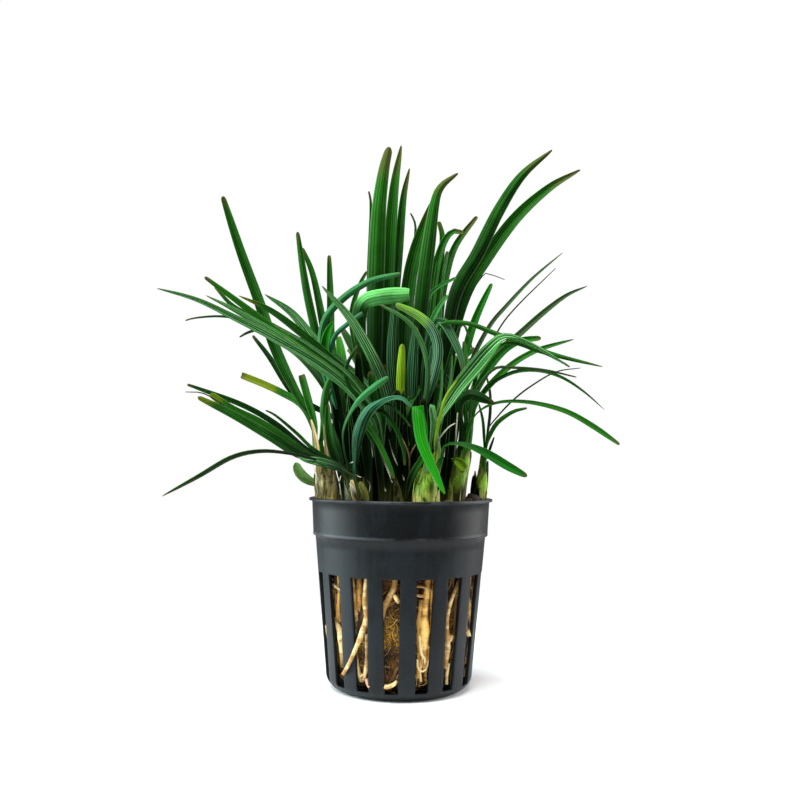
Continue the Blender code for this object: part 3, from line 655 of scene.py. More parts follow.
def sheath_points(leaf, foot, layer):
    """The points of a leaf's wrapped part, up the side of its shoot, and which side that is."""
    shoot = SHOOT_NAMED[leaf.shoot]
    axis = shoot_axis(shoot)
    away = foot - axis[-1]
    away.z = 0
    away = away.normalized() if away.length > 0 else Vector((0, -1, 0))
    return [p + away * (r * MM + layer) for p, r in zip(axis[:-1], shoot.radii)], away


# %% The rows of one leaf's strand
# Shares of a leaf's free length: by OPENED its blade has unwrapped, at SETTLED its turn is judged
OPENED, SETTLED = 0.16, 0.25
# A blade that would have to turn further than this, in radians, shows its other face
FLIP_FROM = 1.9
# Where the last step before the tip gets more rows
TIP_SHARES = (0.45, 0.75, 0.93)
# What is left of the width at the very end: of a rounded leaf, and of a cut one, whose tip is CUT_FROM
# or more
ROUNDED_TO, CUT_TO, CUT_FROM = 0.12, 0.8, 0.7


def upright(vector, along):
    """The part of a vector that is square to a direction, one long."""
    return (vector - along * along.dot(vector)).normalized()


def turned_by(leaf, t):
    """How far a leaf is turned from the front at t, in degrees."""
    at = t * (len(leaf.turn) - 1)
    k = min(int(at), len(leaf.turn) - 2)
    return leaf.turn[k] + (leaf.turn[k + 1] - leaf.turn[k]) * smooth_step(at - k)


def signed_turn(start, end, axis):
    """The angle from one direction to another about an axis."""
    return math.atan2(axis.dot(start.cross(end)), start.dot(end))


def steady(angle, last):
    """The same angle without a jump of a full turn from the one before."""
    return angle - 2 * math.pi * round((angle - last) / (2 * math.pi))


def blade_faces(leaf, places, steps, start_face):
    """The direction out of the hollow face at each place along a leaf."""
    last = len(places) - 1
    legs = [places[min(k + 1, last)] - places[max(k - 1, 0)] for k in range(last + 1)]
    alongs = [leg.normalized() for leg in legs]
    carried, turns, turn = [], [], 0.0
    face = start_face
    for along, step in zip(alongs, steps):
        face = upright(face, along)
        carried.append(face)
        aside = Matrix.Rotation(-math.radians(turned_by(leaf, max(0.0, step))), 3, along)
        front = aside @ upright(Vector((0, -1, 0)), along)
        turn = steady(signed_turn(face, front, along), turn)
        turns.append(turn)
    settled = next(turn for turn, step in zip(turns, steps) if step >= SETTLED)
    flip = math.pi if settled < -FLIP_FROM else -math.pi if settled > FLIP_FROM else 0.0
    faces = []
    for k, along in enumerate(alongs):
        share = smooth_step((steps[k] + 0.02) / 0.3)
        faces.append(Matrix.Rotation((turns[k] + flip) * share, 3, along) @ carried[k])
    return alongs, faces


def leaf_rows(leaf, order, siblings, tone, spacing):
    """The rows of one leaf's strand, from the wool along the shoot and out to the tip."""
    route = [in_space(p) for p in leaf.route]
    layer = (siblings - order) * LAYER
    if leaf.shoot:
        foot = leaf_foot(leaf, order, siblings)
        wrapped, away = sheath_points(leaf, foot, layer)
        points, radii = [*wrapped, foot, *route], SHOOT_NAMED[leaf.shoot].radii
    else:
        foot, away, points, radii = route[0], Vector((0, 0.3, 0.9)).normalized(), route, (1, 1)
    places = smooth_through(points, max(14, round(running_length(points)[-1] / spacing)))
    places[-1:-1] = [places[-2].lerp(places[-1], share) for share in TIP_SHARES]
    run = running_length(places)
    foot_at = min(range(len(places)), key=lambda k: (places[k] - foot).length)
    length = run[-1] - run[foot_at]
    steps = [(at - run[foot_at]) / length for at in run]
    alongs, faces = blade_faces(leaf, places, steps, -away)
    rows = []
    for k, (place, t) in enumerate(zip(places, steps)):
        share = k / max(1, foot_at)
        opened = smooth_step(t / OPENED)
        sheath = (radius_at(radii, share) + layer) * WRAP * (1 - 0.3 * min(1, share))
        blade = blade_width(leaf, max(0.0, t))
        leaves_shoot = smooth_step((t + 0.03) / 0.1) if leaf.shoot else 1.0
        to_end = (1 - t) * length / max(blade_width(leaf, 1.0) * 1.6, 0.2 * MM)
        point = math.sqrt(1 - (1 - min(1.0, to_end)) ** 2)
        blunt = ROUNDED_TO if leaf.tip < CUT_FROM else CUT_TO
        rows.append({
            "centre": place,
            "across": alongs[k].cross(faces[k]),
            "face": faces[k],
            "half": (sheath + (blade - sheath) * leaves_shoot) * (blunt + (1 - blunt) * point),
            "bend": WRAP + (CHANNEL - WRAP) * (opened if leaf.shoot else 1.0),
            "along": run[k] / run[-1],
            "tone": tone,
            "pale": PALENESS_AND_LIGHT[leaf.shoot],
        })
    return rows


# %% [markdown]
# A tree then gives the strand its body. It sweeps a ring of points along it and moves each point
# by formula: the ring is laid across the blade, bent into the channel, given the thickness of a
# leaf with thin edges, and pleated by the veins that run the whole length of the leaf. Modelling
# one leaf and bending copies of it would be quicker, but every copy would then have the same
# veins, width and tip.

# %% The tree that makes leaves
VEINS = 7.0


def strand_lines(inputs):
    """The strands as curves that store their own middle line, and the node for a point's place."""
    line = inputs.node("GeometryNodeMeshToCurve", {}, {"Mesh": inputs.out("Geometry")})
    place = inputs.node("GeometryNodeInputPosition")
    return stored(inputs, line, "centre", place, "FLOAT_VECTOR"), place


def circle(net, points, radius):
    """A ring to sweep along a line."""
    sockets = {"Resolution": points, "Radius": radius}
    return net.node("GeometryNodeCurvePrimitiveCircle", {"mode": "RADIUS"}, sockets)


def sweep(line, ring, **more):
    """A closed tube that a ring leaves along a line."""
    sockets = {"Curve": line, "Profile Curve": ring, "Fill Caps": True} | more
    return line.node("GeometryNodeCurveToMesh", {}, sockets)


def move(shape, **sockets):
    """The shape with its points at a new Position, or moved by an Offset."""
    return shape.node("GeometryNodeSetPosition", {}, {"Geometry": shape} | sockets)


def leaf_tree():
    """The tree that sweeps a blade along every strand."""
    inputs = new_tree("leaf_blade", {
        "Ring points": 40, "Thickness": 0.3 * MM, "Vein height": 0.02 * MM,
        "Keel": 0.34, "Ripple": 0.45 * MM, "Seed": 3.0,
    })
    line, _ = strand_lines(inputs)
    index = inputs.node("GeometryNodeInputIndex")
    ring = circle(inputs, inputs.out("Ring points"), 1.0 * MM)
    ring = stored(inputs, ring, "lap", index / inputs.out("Ring points"))
    tube = sweep(line, ring)
    lap, half, bend = (named(inputs, label) for label in ("lap", "half", "bend"))
    centre, across, face = (named(inputs, label, "FLOAT_VECTOR") for label in ("centre", "across", "face"))
    side = (0.5 - lap).does("SIGN")
    at = 1 - (lap * 2 - 1).does("ABSOLUTE") * 2
    edge = (1 - (at * at) ** 4).does("MAXIMUM", 0.0) ** 0.5
    cloud = (centre * 1.0 + inputs.out("Seed")).noise(70.0)
    width = half * (0.94 + cloud * 0.12)
    over = width * (bend * at).does("SINE") / bend
    hollow = width * (1 - (bend * at).does("COSINE")) / bend
    keel = width * at.does("ABSOLUTE") * inputs.out("Keel")
    thick = inputs.out("Thickness").does("MINIMUM", width * 0.7)
    vein_height = inputs.out("Vein height").does("MINIMUM", width * 0.03)
    vein = (at * (math.pi * VEINS)).does("COSINE") * edge * vein_height
    frill = (centre * 1.0 + inputs.out("Seed") * 2.0).noise(120.0) - 0.5
    wave = frill * at * at * inputs.out("Ripple").does("MINIMUM", width * 0.35)
    out = hollow + keel + vein + wave + side * edge * thick * 0.5
    moved = move(tube, Position=centre + across * over + face * out)
    return end_tree(inputs, stored(inputs, moved, "at", at))


LEAF_TREE = leaf_tree()

# %% [markdown]
# ## Leaf finishes
#
# Close by, a mondo grass leaf is a satin deep green with fine paler veins, a thin pale rim, partly a
# painted edge highlight, and now and then a dry brown tip. Young leaves are lime or mint, old ones
# turn olive, and at the wool all of them fade to cream. The finish also paints light and shade: one
# half of a blade is lighter, a leaf is darker towards its foot, and low in the tuft nearly black. A
# picture could be wrapped on the leaf, but here a finish is worked out from where a point is on its
# leaf, so every leaf gets its own streaks and no seams.

# %% Start and end a finish
def new_finish(name):
    """An empty material, the net to build it in, and the place on the piece in metres."""
    made = bpy.data.materials.new(name)
    made.use_nodes = True
    made.node_tree.nodes.clear()
    net = Net(made.node_tree)
    return made, net, net.node("ShaderNodeTexCoord", {}, {}, "Object")


def end_finish(net, sockets):
    """Ends a finish with the one shader that every finish here uses."""
    shader = net.node("ShaderNodeBsdfPrincipled", {}, sockets)
    net.node("ShaderNodeOutputMaterial", {}, {"Surface": shader})


def carried(net, label):
    """A value that the mesh carries, for a finish to read."""
    return net.node("ShaderNodeAttribute", {"attribute_name": label}, {}, "Fac")


def rgb(red, green, blue):
    """A colour in linear light."""
    return (red, green, blue, 1.0)


# %% The finishes of leaves
LEAF_FINISHES = {}


def leaf_finish(name, dark, light, line, vein=0.3, dry=0.5, satin=0.45, gloss=0.06, tip=None, tip_from=0.8,
                shaded=(0.054, 0.118), shaded_along=0.78):
    """Makes a leaf's finish between two greens, with its veins in a third colour.

    vein is how much the veins show and dry how brown the tip is. A tip colour of its own starts
    at tip_from, as a share of the leaf's length. Painted shade makes a leaf nearly black below the
    first height in shaded, in metres, and leaves it quite free above the second.
    """
    made, net, place = new_finish("leaf_" + name)
    along, at, tone, pale = (carried(net, label) for label in ("along", "at", "tone", "pale"))
    height = place.part("Z")
    streaks = net.vector(at * 2.6, along * 4.0, tone * 37.0).noise(2.4, 4.0, 0.6)
    fine = net.vector(at * 7.0, along * 3.0, tone * 53.0).noise(1.6, 2.0)
    patches = place.noise(160.0, 3.0)
    # Painted light: one half of each blade is lighter, and a leaf grows lighter towards its tip.
    lit_half = at.between(-0.06, 0.06)
    shade = (streaks * 0.8 + patches * 0.5 + tone * 0.35 + lit_half * 0.14 + along * 0.3).between(0.68, 1.4)
    green = shade.mix(rgb(*dark), rgb(*light))
    if tip:
        tipped = (along + (streaks - 0.5) * 0.06).between(tip_from - 0.03, tip_from + 0.03)
        green = tipped.mix(green, shade.mix(rgb(*(v * 0.6 for v in tip)), rgb(*(v * 1.5 for v in tip))))
    # The pale rim is partly the leaf's own and partly a painted edge highlight.
    rim = at.does("ABSOLUTE").between(0.86, 0.98)
    waves = (at * (math.pi * 5.4) + tone * 40 + (streaks - 0.5) * 1.6).does("SINE")
    lines = waves.between(0.0, 0.95) * fine.between(0.35, 0.6) * (1 - rim)
    green = (lines * vein).mix(green, rgb(*line))
    grooves = (-1 * waves).between(0.2, 1.0) * (1 - rim)
    green = (grooves * 0.55).mix(green, rgb(*(v * 0.5 for v in dark)))
    middle = 1 - at.does("ABSOLUTE").between(0.02, 0.09)
    green = (middle * vein * 0.7).mix(green, rgb(*(v * 1.3 for v in line)))
    green = (rim * 0.35).mix(green, rgb(0.14, 0.3, 0.07))
    # Painted shade: low down a leaf turns nearly black; it fades out along the leaf and is weaker on pale
    # shoots.
    low_down = 1 - (height + (patches - 0.5) * 0.03).between(*shaded)
    painted_shade = low_down * (1 - along.between(0.3, shaded_along))
    green = (painted_shade * (1 - pale) * 0.92).mix(green, rgb(0.0008, 0.004, 0.0006))
    near_wool = (1 - along.between(0.12, 0.34)) * pale
    base = (1 - (height - pale * 0.004 + (patches - 0.5) * 0.016).between(0.051, 0.071)) * near_wool
    green = (base * 0.85).mix(green, fine.mix(rgb(0.1, 0.15, 0.01), rgb(0.5, 0.52, 0.12)))
    low = (1 - (height + (streaks - 0.5) * 0.01).between(0.0495, 0.0545)) * near_wool
    green = (low * 0.7).mix(green, rgb(0.5, 0.4, 0.16))
    brown = (along + (streaks - 0.5) * 0.08).between(0.95, 1.0)
    green = (brown * dry).mix(green, rgb(0.1, 0.075, 0.02))
    specks = (place.noise(900.0, 2.0) + (along - 0.5) * 0.06).between(0.7, 0.76)
    green = (specks * 0.3).mix(green, rgb(0.12, 0.1, 0.02))
    grain = waves * 0.25 + streaks * 0.4 + place.noise(1500.0) * 0.25
    end_finish(net, {
        "Base Color": green, "Roughness": satin + (streaks - 0.5) * 0.2 + rim * 0.15 + brown * dry * 0.2,
        "Normal": grain.bump(0.4, 0.05), "Specular IOR Level": gloss,
    })
    LEAF_FINISHES[name] = made


GREEN = (0.001, 0.022, 0.0006), (0.014, 0.13, 0.004), (0.05, 0.22, 0.03)
STRIPED = (0.002, 0.035, 0.003), (0.03, 0.18, 0.025), (0.24, 0.5, 0.22)
leaf_finish("green", *GREEN, 0.35, 0.6)
leaf_finish("tall", *GREEN, 0.4, 0.6, tip=(0.05, 0.068, 0.01), tip_from=0.92,
            shaded=(0.095, 0.152), shaded_along=1.3)
leaf_finish("olive", *GREEN, 0.3, 0.9, tip=(0.13, 0.17, 0.003), tip_from=0.78)
leaf_finish("gold_tip", *GREEN, 0.35, 0.1, tip=(0.11, 0.145, 0.004), tip_from=0.93)
leaf_finish("mint_end", *GREEN, 0.3, 0.1, tip=(0.095, 0.38, 0.09), tip_from=0.8,
            shaded=(0.088, 0.11), shaded_along=2.0)
leaf_finish("striped", *STRIPED, 0.8, 0.5, shaded=(0.05, 0.1))
# The striped finish with painted shade that reaches higher up its leaf.
leaf_finish("half_striped", *STRIPED, 0.8, 0.5, shaded=(0.076, 0.094), shaded_along=1.2)
leaf_finish("shade_striped", (0.001, 0.02, 0.004), (0.009, 0.08, 0.02), (0.12, 0.27, 0.13), 0.75, 0.4,
            shaded=(0.06, 0.1))
leaf_finish("lime_end", (0.003, 0.04, 0.01), (0.04, 0.18, 0.07), (0.28, 0.5, 0.32), 0.8, 0.2,
            tip=(0.19, 0.46, 0.012), tip_from=0.84, shaded=(0.05, 0.076))
leaf_finish("teal", (0.002, 0.035, 0.012), (0.016, 0.15, 0.06), (0.11, 0.36, 0.19), 0.7, 0.3,
            shaded=(0.05, 0.074))
leaf_finish("arch", (0.002, 0.05, 0.008), (0.03, 0.21, 0.055), (0.1, 0.34, 0.12), 0.5, 0.2,
            shaded=(0.068, 0.09))
leaf_finish("mint", (0.008, 0.1, 0.008), (0.045, 0.27, 0.05), (0.12, 0.4, 0.1), 0.4, 0.2)
leaf_finish("lime", (0.06, 0.17, 0.002), (0.26, 0.46, 0.01), (0.4, 0.56, 0.05), 0.3, 0.2,
            shaded=(0.05, 0.062))
leaf_finish("vivid", (0.002, 0.09, 0.001), (0.009, 0.22, 0.003), (0.03, 0.32, 0.015), 0.35, 0.2)
leaf_finish("emerald", (0.001, 0.035, 0.001), (0.008, 0.14, 0.004), (0.02, 0.2, 0.015), 0.3, 0.5)
leaf_finish("deep", (0.0008, 0.012, 0.0006), (0.005, 0.06, 0.003), (0.02, 0.11, 0.015), 0.3, 0.6)
leaf_finish("dusky", (0.004, 0.016, 0.003), (0.03, 0.08, 0.018), (0.07, 0.13, 0.05), 0.3, 0.8)
# A nearly black finish: painted shade for leaves deep in the tuft and in the dark between the shoots.
leaf_finish("shade", (0.0003, 0.0012, 0.0002), (0.0012, 0.008, 0.001), (0.004, 0.02, 0.003), 0.2, 0.2,
            satin=0.8, gloss=0.02)
leaf_finish("curled", (0.03, 0.1, 0.012), (0.13, 0.27, 0.06), (0.26, 0.42, 0.16), 0.4, 0.2,
            shaded=(0.04, 0.05))
leaf_finish("husk", (0.02, 0.022, 0.003), (0.17, 0.18, 0.03), (0.4, 0.38, 0.14), 0.5, 0.4, 0.6,
            shaded=(0.02, 0.03))
leaf_finish("papery", (0.2, 0.12, 0.03), (0.66, 0.5, 0.22), (0.8, 0.7, 0.45), 0.4, 0.4, 0.7,
            shaded=(0.02, 0.03))
leaf_finish("dry", (0.12, 0.05, 0.02), (0.42, 0.25, 0.12), (0.5, 0.4, 0.25), 0.2, 0.4, 0.7)
leaf_finish("bleached", (0.25, 0.25, 0.16), (0.75, 0.75, 0.58), (0.8, 0.8, 0.7), 0.2, 0.1, 0.6)
LEAF_SLOTS = {"mint": "leaf_light", "lime": "leaf_light", "vivid": "leaf_light", "olive": "leaf_olive"}
print(len(LEAF_FINISHES), "leaf finishes")

# %% [markdown]
# ## Growing the main leaves
#
# Each main leaf is a piece of its own and stands for its own solid. The leaves of one shoot are
# laid over each other in the order of the table, the first one outermost.

# %% Grow the main leaves
chance = Random(11)
ROW_SPACING = 1.5 * MM


def grow_leaves(name, leaves, finish, **sizes):
    """One piece that holds all these leaves; each one is (leaf, order, siblings)."""
    strands = [leaf_rows(*leaf, chance.random(), ROW_SPACING) for leaf in leaves]
    sizes |= {"finish": LEAF_FINISHES[finish], "seed": chance.uniform(0, 9)}
    return grow_strands(name, strands, LEAF_TREE, **sizes)


faces = 0
for shoot in SHOOTS:
    grown = [leaf for leaf in MAIN_LEAVES if leaf.shoot == shoot.name]
    for order, leaf in enumerate(grown):
        piece = grow_leaves("blade_" + leaf.name, [(leaf, order, len(grown))], leaf.finish)
        hand_in(piece, LEAF_SLOTS.get(leaf.finish, "leaf"), "leaf_" + leaf.name)
        faces += len(piece.data.polygons)
print(len(MAIN_LEAVES), "main leaves with", faces, "faces")

# %% [markdown]
# ## Thin, young and torn leaves
#
# Between the main leaves there are many small ones: hair-thin dark tips, torn stubs with pale ends,
# pale young blades and a few dry brown stalks. They are too slight for solids of their own, so
# they are drawn the same way and gathered into one piece for each finish.

# %% Thin leaves on the left
THIN_LEFT = (
    Leaf("hook", "centre", "deep", 0.9, (20, 10), ((-9, 77, -9), (-24, 89, -13), (-36, 97.3, -15),
         (-45, 100.4, -16), (-51.5, 101.3, -17), (-58, 100.8, -18), (-61, 100, -19)), 0.3),
    Leaf("band_second", "centre", "striped", 2.6, (15, 10), ((-8, 73, -12), (-15, 81.3, -13.5),
         (-25, 88.8, -16), (-33.4, 94.9, -18), (-41, 99.6, -20), (-48.5, 103.8, -22), (-55.5, 107.2, -23)),
         0.03),
    Leaf("band_pale", "centre", "striped", 1.1, (40, 20), ((-6, 72, -14.5), (-10, 79, -17),
         (-15, 85.2, -19), (-20.5, 89.5, -20), (-28, 94.6, -22), (-36, 99, -23)), 0.3),
    Leaf("band_far", "centre", "green", 1.8, (20, 0), ((-8, 75, -5), (-22, 90, -7), (-36, 98.5, -8),
         (-47, 103.8, -9), (-53, 109.8, -9))),
    Leaf("torn_short", "back_left", "teal", 1.5, (20, 10), ((-18.5, 76, 1), (-21, 87, -3),
         (-19.3, 95.5, -5), (-16, 99.2, -6), (-11.3, 102.7, -7)), 0.9),
    Leaf("back_dark", "back_left", "deep", 2.0, (20, 10), ((-19, 73, 10), (-27, 77.5, 12),
         (-31.5, 81.5, 13), (-37, 89.8, 14), (-42, 96, 15))),
    Leaf("torn_stub", "left", "green", 2.3, (10, 10), ((-24, 71, 1), (-26, 78, 2), (-28, 85, 3)), 0.92,
         0.6),
    Leaf("low_dark", "front_left", "deep", 1.7, (20, 10), ((-18.5, 60.2, -8), (-26.3, 64.4, -8),
         (-34.8, 71.2, -8), (-44.2, 76.4, -8), (-56.4, 80.8, -8), (-60, 82, -8)), 0.25),
    Leaf("low_blade", "", "striped", 2.4, (15, 10), ((-12.9, 57, -20), (-17.4, 59.4, -21),
         (-22.3, 60.9, -21.5), (-26.4, 61.5, -21), (-28.6, 62.1, -20.6)), 0.1, 0.5),
    Leaf("poking_tip", "", "dusky", 0.9, (0, 0), ((-36, 99.5, -9), (-41, 97.6, -9), (-43.7, 96.6, -9),
         (-45.7, 95.4, -9))),
    Leaf("arch_lit", "", "vivid", 3.0, (30, 10), ((-20.4, 84, -1), (-21.2, 90, -3), (-21.3, 94, -5),
         (-20.6, 97.5, -6), (-19.2, 100.2, -7)), 0.1, 0.5),
    Leaf("low_hair", "front_left", "dusky", 0.5, (0, 0), ((-18, 59.6, -13.5), (-30, 63.4, -15),
         (-45, 73, -16), (-54.5, 79.2, -17), (-60.5, 79.9, -17.5))),
    Leaf("low_short", "front_left", "green", 1.0, (20, 0), ((-17.5, 60.5, -10), (-24.5, 64.5, -9),
         (-29, 68.6, -8), (-35, 73.5, -8), (-38, 75, -8))),
    Leaf("spoon", "", "curled", 3.1, (35, 0), ((-20, 54.2, 3), (-23.7, 55.2, 2.4), (-26.2, 56.3, 2),
         (-28.3, 58.2, 1.6), (-29.3, 60.6, 1.4)), 0.5, 0.62),
    Leaf("left_young", "left", "green", 1.3, (30, 0), ((-22.4, 69, -4), (-21.6, 76, -5), (-19.6, 81, -6)),
         0.2),
    Leaf("left_inner_low", "", "green", 2.9, (10, 30), ((-15, 54, -6), (-17.2, 60, -6), (-19, 65, -6),
         (-20, 70, -6.4), (-20.5, 77, -7.5)), 0.2),
    Leaf("papery_outer", "", "papery", 1.3, (10, 30), ((-22.2, 58, -4.2), (-22.8, 62, -4.1),
         (-23.4, 66, -3.6), (-24.3, 70, -2.6), (-25.2, 72.6, -1.6))),
    Leaf("papery_inner", "", "papery", 1.1, (-10, 10), ((-19.9, 57, -4.0), (-20.4, 61, -4.2),
         (-20.9, 65, -4.4), (-21.2, 69, -4.6), (-21.6, 72, -5))),
)
print(len(THIN_LEFT), "thin leaves on the left")

# %% Thin leaves in the middle
THIN_MIDDLE = (
    Leaf("tall_edge", "tall", "deep", 1.4, (10, 0), ((-8.4, 82, 11), (-9.6, 108, 12), (-9.3, 132, 12),
         (-10, 137.5, 12))),
    Leaf("tall_low", "tall", "green", 1.9, (10, 0), ((-9.5, 80, 8), (-13.4, 95, 8), (-14.2, 103, 8),
         (-12.2, 110.5, 8), (-10.2, 114.5, 8))),
    Leaf("tall_behind", "tall", "deep", 3.0, (0, 0), ((-5.4, 76, 12), (-5.6, 92, 13), (-5.4, 104, 14),
         (-5, 112, 14))),
    Leaf("mid_behind", "mid", "deep", 2.8, (0, 0), ((-0.4, 74, 11), (-1, 88, 13), (-1.1, 98, 14),
         (-1.1, 104, 14))),
    Leaf("gap_tip", "mid", "green", 1.2, (20, 0), ((2, 80, 10), (2.6, 105, 11), (3.3, 124, 11),
         (3.2, 128.4, 11), (1.9, 131.3, 11))),
    Leaf("gap_dark", "mid", "green", 2.8, (10, 0), ((5.6, 80, 6), (8.8, 103, 8), (10.2, 116, 8),
         (11, 124, 8), (9.9, 129, 8))),
    Leaf("gap_light", "mid", "green", 3.4, (20, 20), ((6.2, 80, 8), (7.6, 100, 8), (9, 113, 8),
         (11.2, 122, 7), (14, 125.9, 6), (17.2, 125.4, 5)), 0.2),
    Leaf("gap_low", "back_right", "striped", 2.5, (10, 0), ((8.8, 80, 10), (9.8, 100, 12), (10.6, 111, 12),
         (12.5, 120.5, 12))),
    Leaf("yellow_core", "mid", "lime", 2.6, (0, 0), ((0.9, 69, -3), (-0.3, 79, -6), (-0.3, 87, -7.5),
         (0, 94, -8)), 0.5, 0.6),
    Leaf("dark_core", "mid", "shade_striped", 3.2, (0, 0), ((2.7, 73, -2), (2.9, 84, -3.5), (3.2, 92, -4.5),
         (3.7, 99, -5)), 0.4, 0.6),
    Leaf("curl_fine", "front_left", "deep", 0.8, (20, 0), ((-11.5, 66, -18), (-9, 74, -20),
         (-4.5, 77.3, -21), (0, 74, -22), (2.5, 70.8, -22))),
    Leaf("curl_low", "front_left", "deep", 1.4, (50, 20), ((-11.8, 66, -16), (-9.4, 73.4, -18.5),
         (-6, 75.2, -19.5), (-2, 70.8, -20), (0.5, 64.5, -20), (1, 60, -20)), 0.3),
    Leaf("droop_mid", "centre", "green", 1.6, (30, 10), ((-11.6, 73.3, -14.5), (-8.6, 70, -17),
         (-6.4, 66.7, -18), (-3.4, 60.5, -19), (-1.8, 56.2, -19)), 0.12, 0.6),
    Leaf("sliver", "centre", "deep", 1.4, (20, 0), ((-9, 75, -13), (-14.8, 82, -16), (-15.6, 87.5, -17.5),
         (-12.5, 93.5, -19)), 0.3),
    Leaf("dead_stalk", "", "dry", 0.4, (0, 0), ((1.8, 52, -15.5), (2.3, 61.5, -16), (1, 66, -17),
         (-1, 69.3, -17)), 0.5),
    Leaf("dead_fork", "", "dry", 0.35, (0, 0), ((2.3, 61.3, -16), (2.8, 63.7, -16.5), (4, 66, -17)), 0.5),
    Leaf("front_hook", "front_right", "striped", 1.5, (30, 60), ((8, 66, -15), (8.3, 72, -17),
         (7.8, 76.4, -18.5), (9.0, 76.6, -20), (9.8, 72, -21)), 0.4, 0.6),
    Leaf("front_low", "", "green", 1.8, (10, 10), ((1.2, 50, -15), (2.7, 56, -16.5), (4, 59, -17),
         (5.8, 62, -17), (7.5, 66.5, -17)), 0.2),
    Leaf("lit_gap", "mid", "mint", 2.4, (10, 20), ((4.8, 76, 2), (6, 90, 1), (8.6, 101, 0),
         (12.6, 108, -1)), 0.3),
    Leaf("lit_fine", "mid", "mint", 1.7, (20, 0), ((3.8, 78, 3), (4.6, 96, 2), (7, 106.6, 1),
         (10, 110.2, 0), (15, 113, -1)), 0.2),
    Leaf("drooping_striped", "mid", "shade_striped", 3.4, (20, 25), ((6.4, 76, 0), (7.8, 92, -3),
         (10.2, 100.3, -5.5), (13.5, 96.4, -8), (16.2, 90.4, -10), (16.9, 86.6, -11)), 0.25),
    Leaf("drooping_dark", "back_right", "deep", 0.9, (20, 0), ((10.4, 78, 3), (14, 93, 0), (17, 99.8, -2),
         (19.8, 92.2, -5))),
    Leaf("stub_cream", "", "papery", 1.5, (20, 0), ((-12.4, 49, -17), (-12.9, 52, -17.4),
         (-13.7, 56, -17.6)), 0.3),
    Leaf("stub_torn", "", "bleached", 0.8, (-20, 0), ((-12.2, 50, -17.6), (-13.1, 53, -18),
         (-14.2, 55, -18)), 0.3),
    Leaf("stub_olive", "", "husk", 1.9, (10, 0), ((-8.9, 49, -17.4), (-9.9, 52.2, -17.8),
         (-11.5, 55.4, -18)), 0.4),
)
print(len(THIN_MIDDLE), "thin leaves in the middle")

# %% Thin leaves on the right
THIN_RIGHT = (
    Leaf("top_hair", "back_right", "dusky", 0.5, (0, 0), ((13, 80, 15), (17, 103, 16), (22.3, 113.4, 17),
         (25, 113.8, 17), (28.7, 112.5, 17))),
    Leaf("black_hair", "back_right", "dusky", 0.55, (0, 0), ((15, 75, 17), (24, 92.5, 24), (28, 100, 26),
         (33, 106, 27), (40, 113, 29), (43, 116, 30))),
    Leaf("forked_tip", "front_right", "green", 1.1, (10, 0), ((12.8, 77, -11), (27, 93.6, -15),
         (38, 92.3, -14), (43.5, 90, -13), (46.9, 88, -13))),
    Leaf("long_fine", "thick", "green", 1.1, (10, 0), ((19.6, 76, -4), (24, 82, -6), (28, 85, -7),
         (33, 86.8, -8), (39, 86.8, -9), (45, 84.9, -10), (51, 81, -11), (56.7, 76, -12)), 0.04, 0.3),
    Leaf("level_fine", "thick", "dusky", 0.8, (0, 0), ((20.2, 80, -7), (25.5, 87.1, -9), (31, 87.7, -10),
         (40, 87.1, -11), (48.8, 85.2, -12))),
    Leaf("rising_hair", "right", "dusky", 0.5, (0, 0), ((24, 70, 0), (26.8, 74, 0), (31, 78.5, 0),
         (36, 82.5, 0), (43, 86.6, 0), (50, 87.8, 0))),
    Leaf("small_branch", "right", "green", 1.3, (10, 0), ((24.2, 67.5, 1), (26.5, 72, 0), (31, 75.3, 0),
         (35, 76.4, 0)), 0.2),
    Leaf("small_needle", "", "dusky", 0.8, (0, 0), ((23.7, 62, 3), (24.8, 65.4, 3), (25.8, 68.2, 3))),
    Leaf("right_straight", "right", "green", 0.9, (0, 0), ((23, 68, 4.6), (22.6, 73, 5.4),
         (21.5, 77.4, 6))),
    Leaf("right_thin", "right", "dusky", 0.9, (0, 0), ((24, 69, 1.6), (24.7, 75, 1.6), (24.6, 81, 1.6),
         (23.4, 86, 1.6))),
    Leaf("yellow_young", "front_right", "lime", 0.9, (20, 0), ((9.4, 67, -16), (10.4, 72.6, -17),
         (12.2, 79, -18), (15.4, 84, -18.6)), 0.3),
    Leaf("pale_stem", "", "bleached", 0.4, (0, 0), ((9, 64, -15.4), (10.4, 67.4, -16), (13, 70.7, -17),
         (15, 72, -17)), 0.6),
    Leaf("pale_stick", "", "bleached", 0.45, (0, 0), ((14.6, 61, -9), (15, 66, -9.4), (15.6, 75, -10)),
         0.6),
    Leaf("mint_sliver", "front_right", "striped", 0.9, (0, 0), ((9.4, 70, -11), (11, 80.5, -12),
         (11.2, 89.5, -13))),
    Leaf("mint_sliver_low", "front_right", "striped", 0.8, (0, 0), ((10.6, 70, -11), (13.4, 83, -12.4),
         (14, 91, -13))),
    Leaf("thick_short", "thick", "deep", 1.6, (20, 0), ((19, 75, -1), (20.4, 82, -2), (20.2, 88, -3))),
    Leaf("cut_leaf", "", "lime", 2.7, (0, 0), ((14.1, 62.1, -8), (15.3, 61.5, -8.5), (16.6, 60.5, -8.7),
         (17.6, 59.3, -8.5)), 0.85, 0.6),
    Leaf("torn_black", "", "shade", 1.9, (0, 0), ((19.8, 48.6, 1.6), (20.1, 53, 1.8), (20.3, 57.6, 2))),
    Leaf("torn_black_low", "", "shade", 1.5, (0, 0), ((21, 48.6, 1), (21, 51, 1), (21.2, 54, 1))),
)
print(len(THIN_RIGHT), "thin leaves on the right")
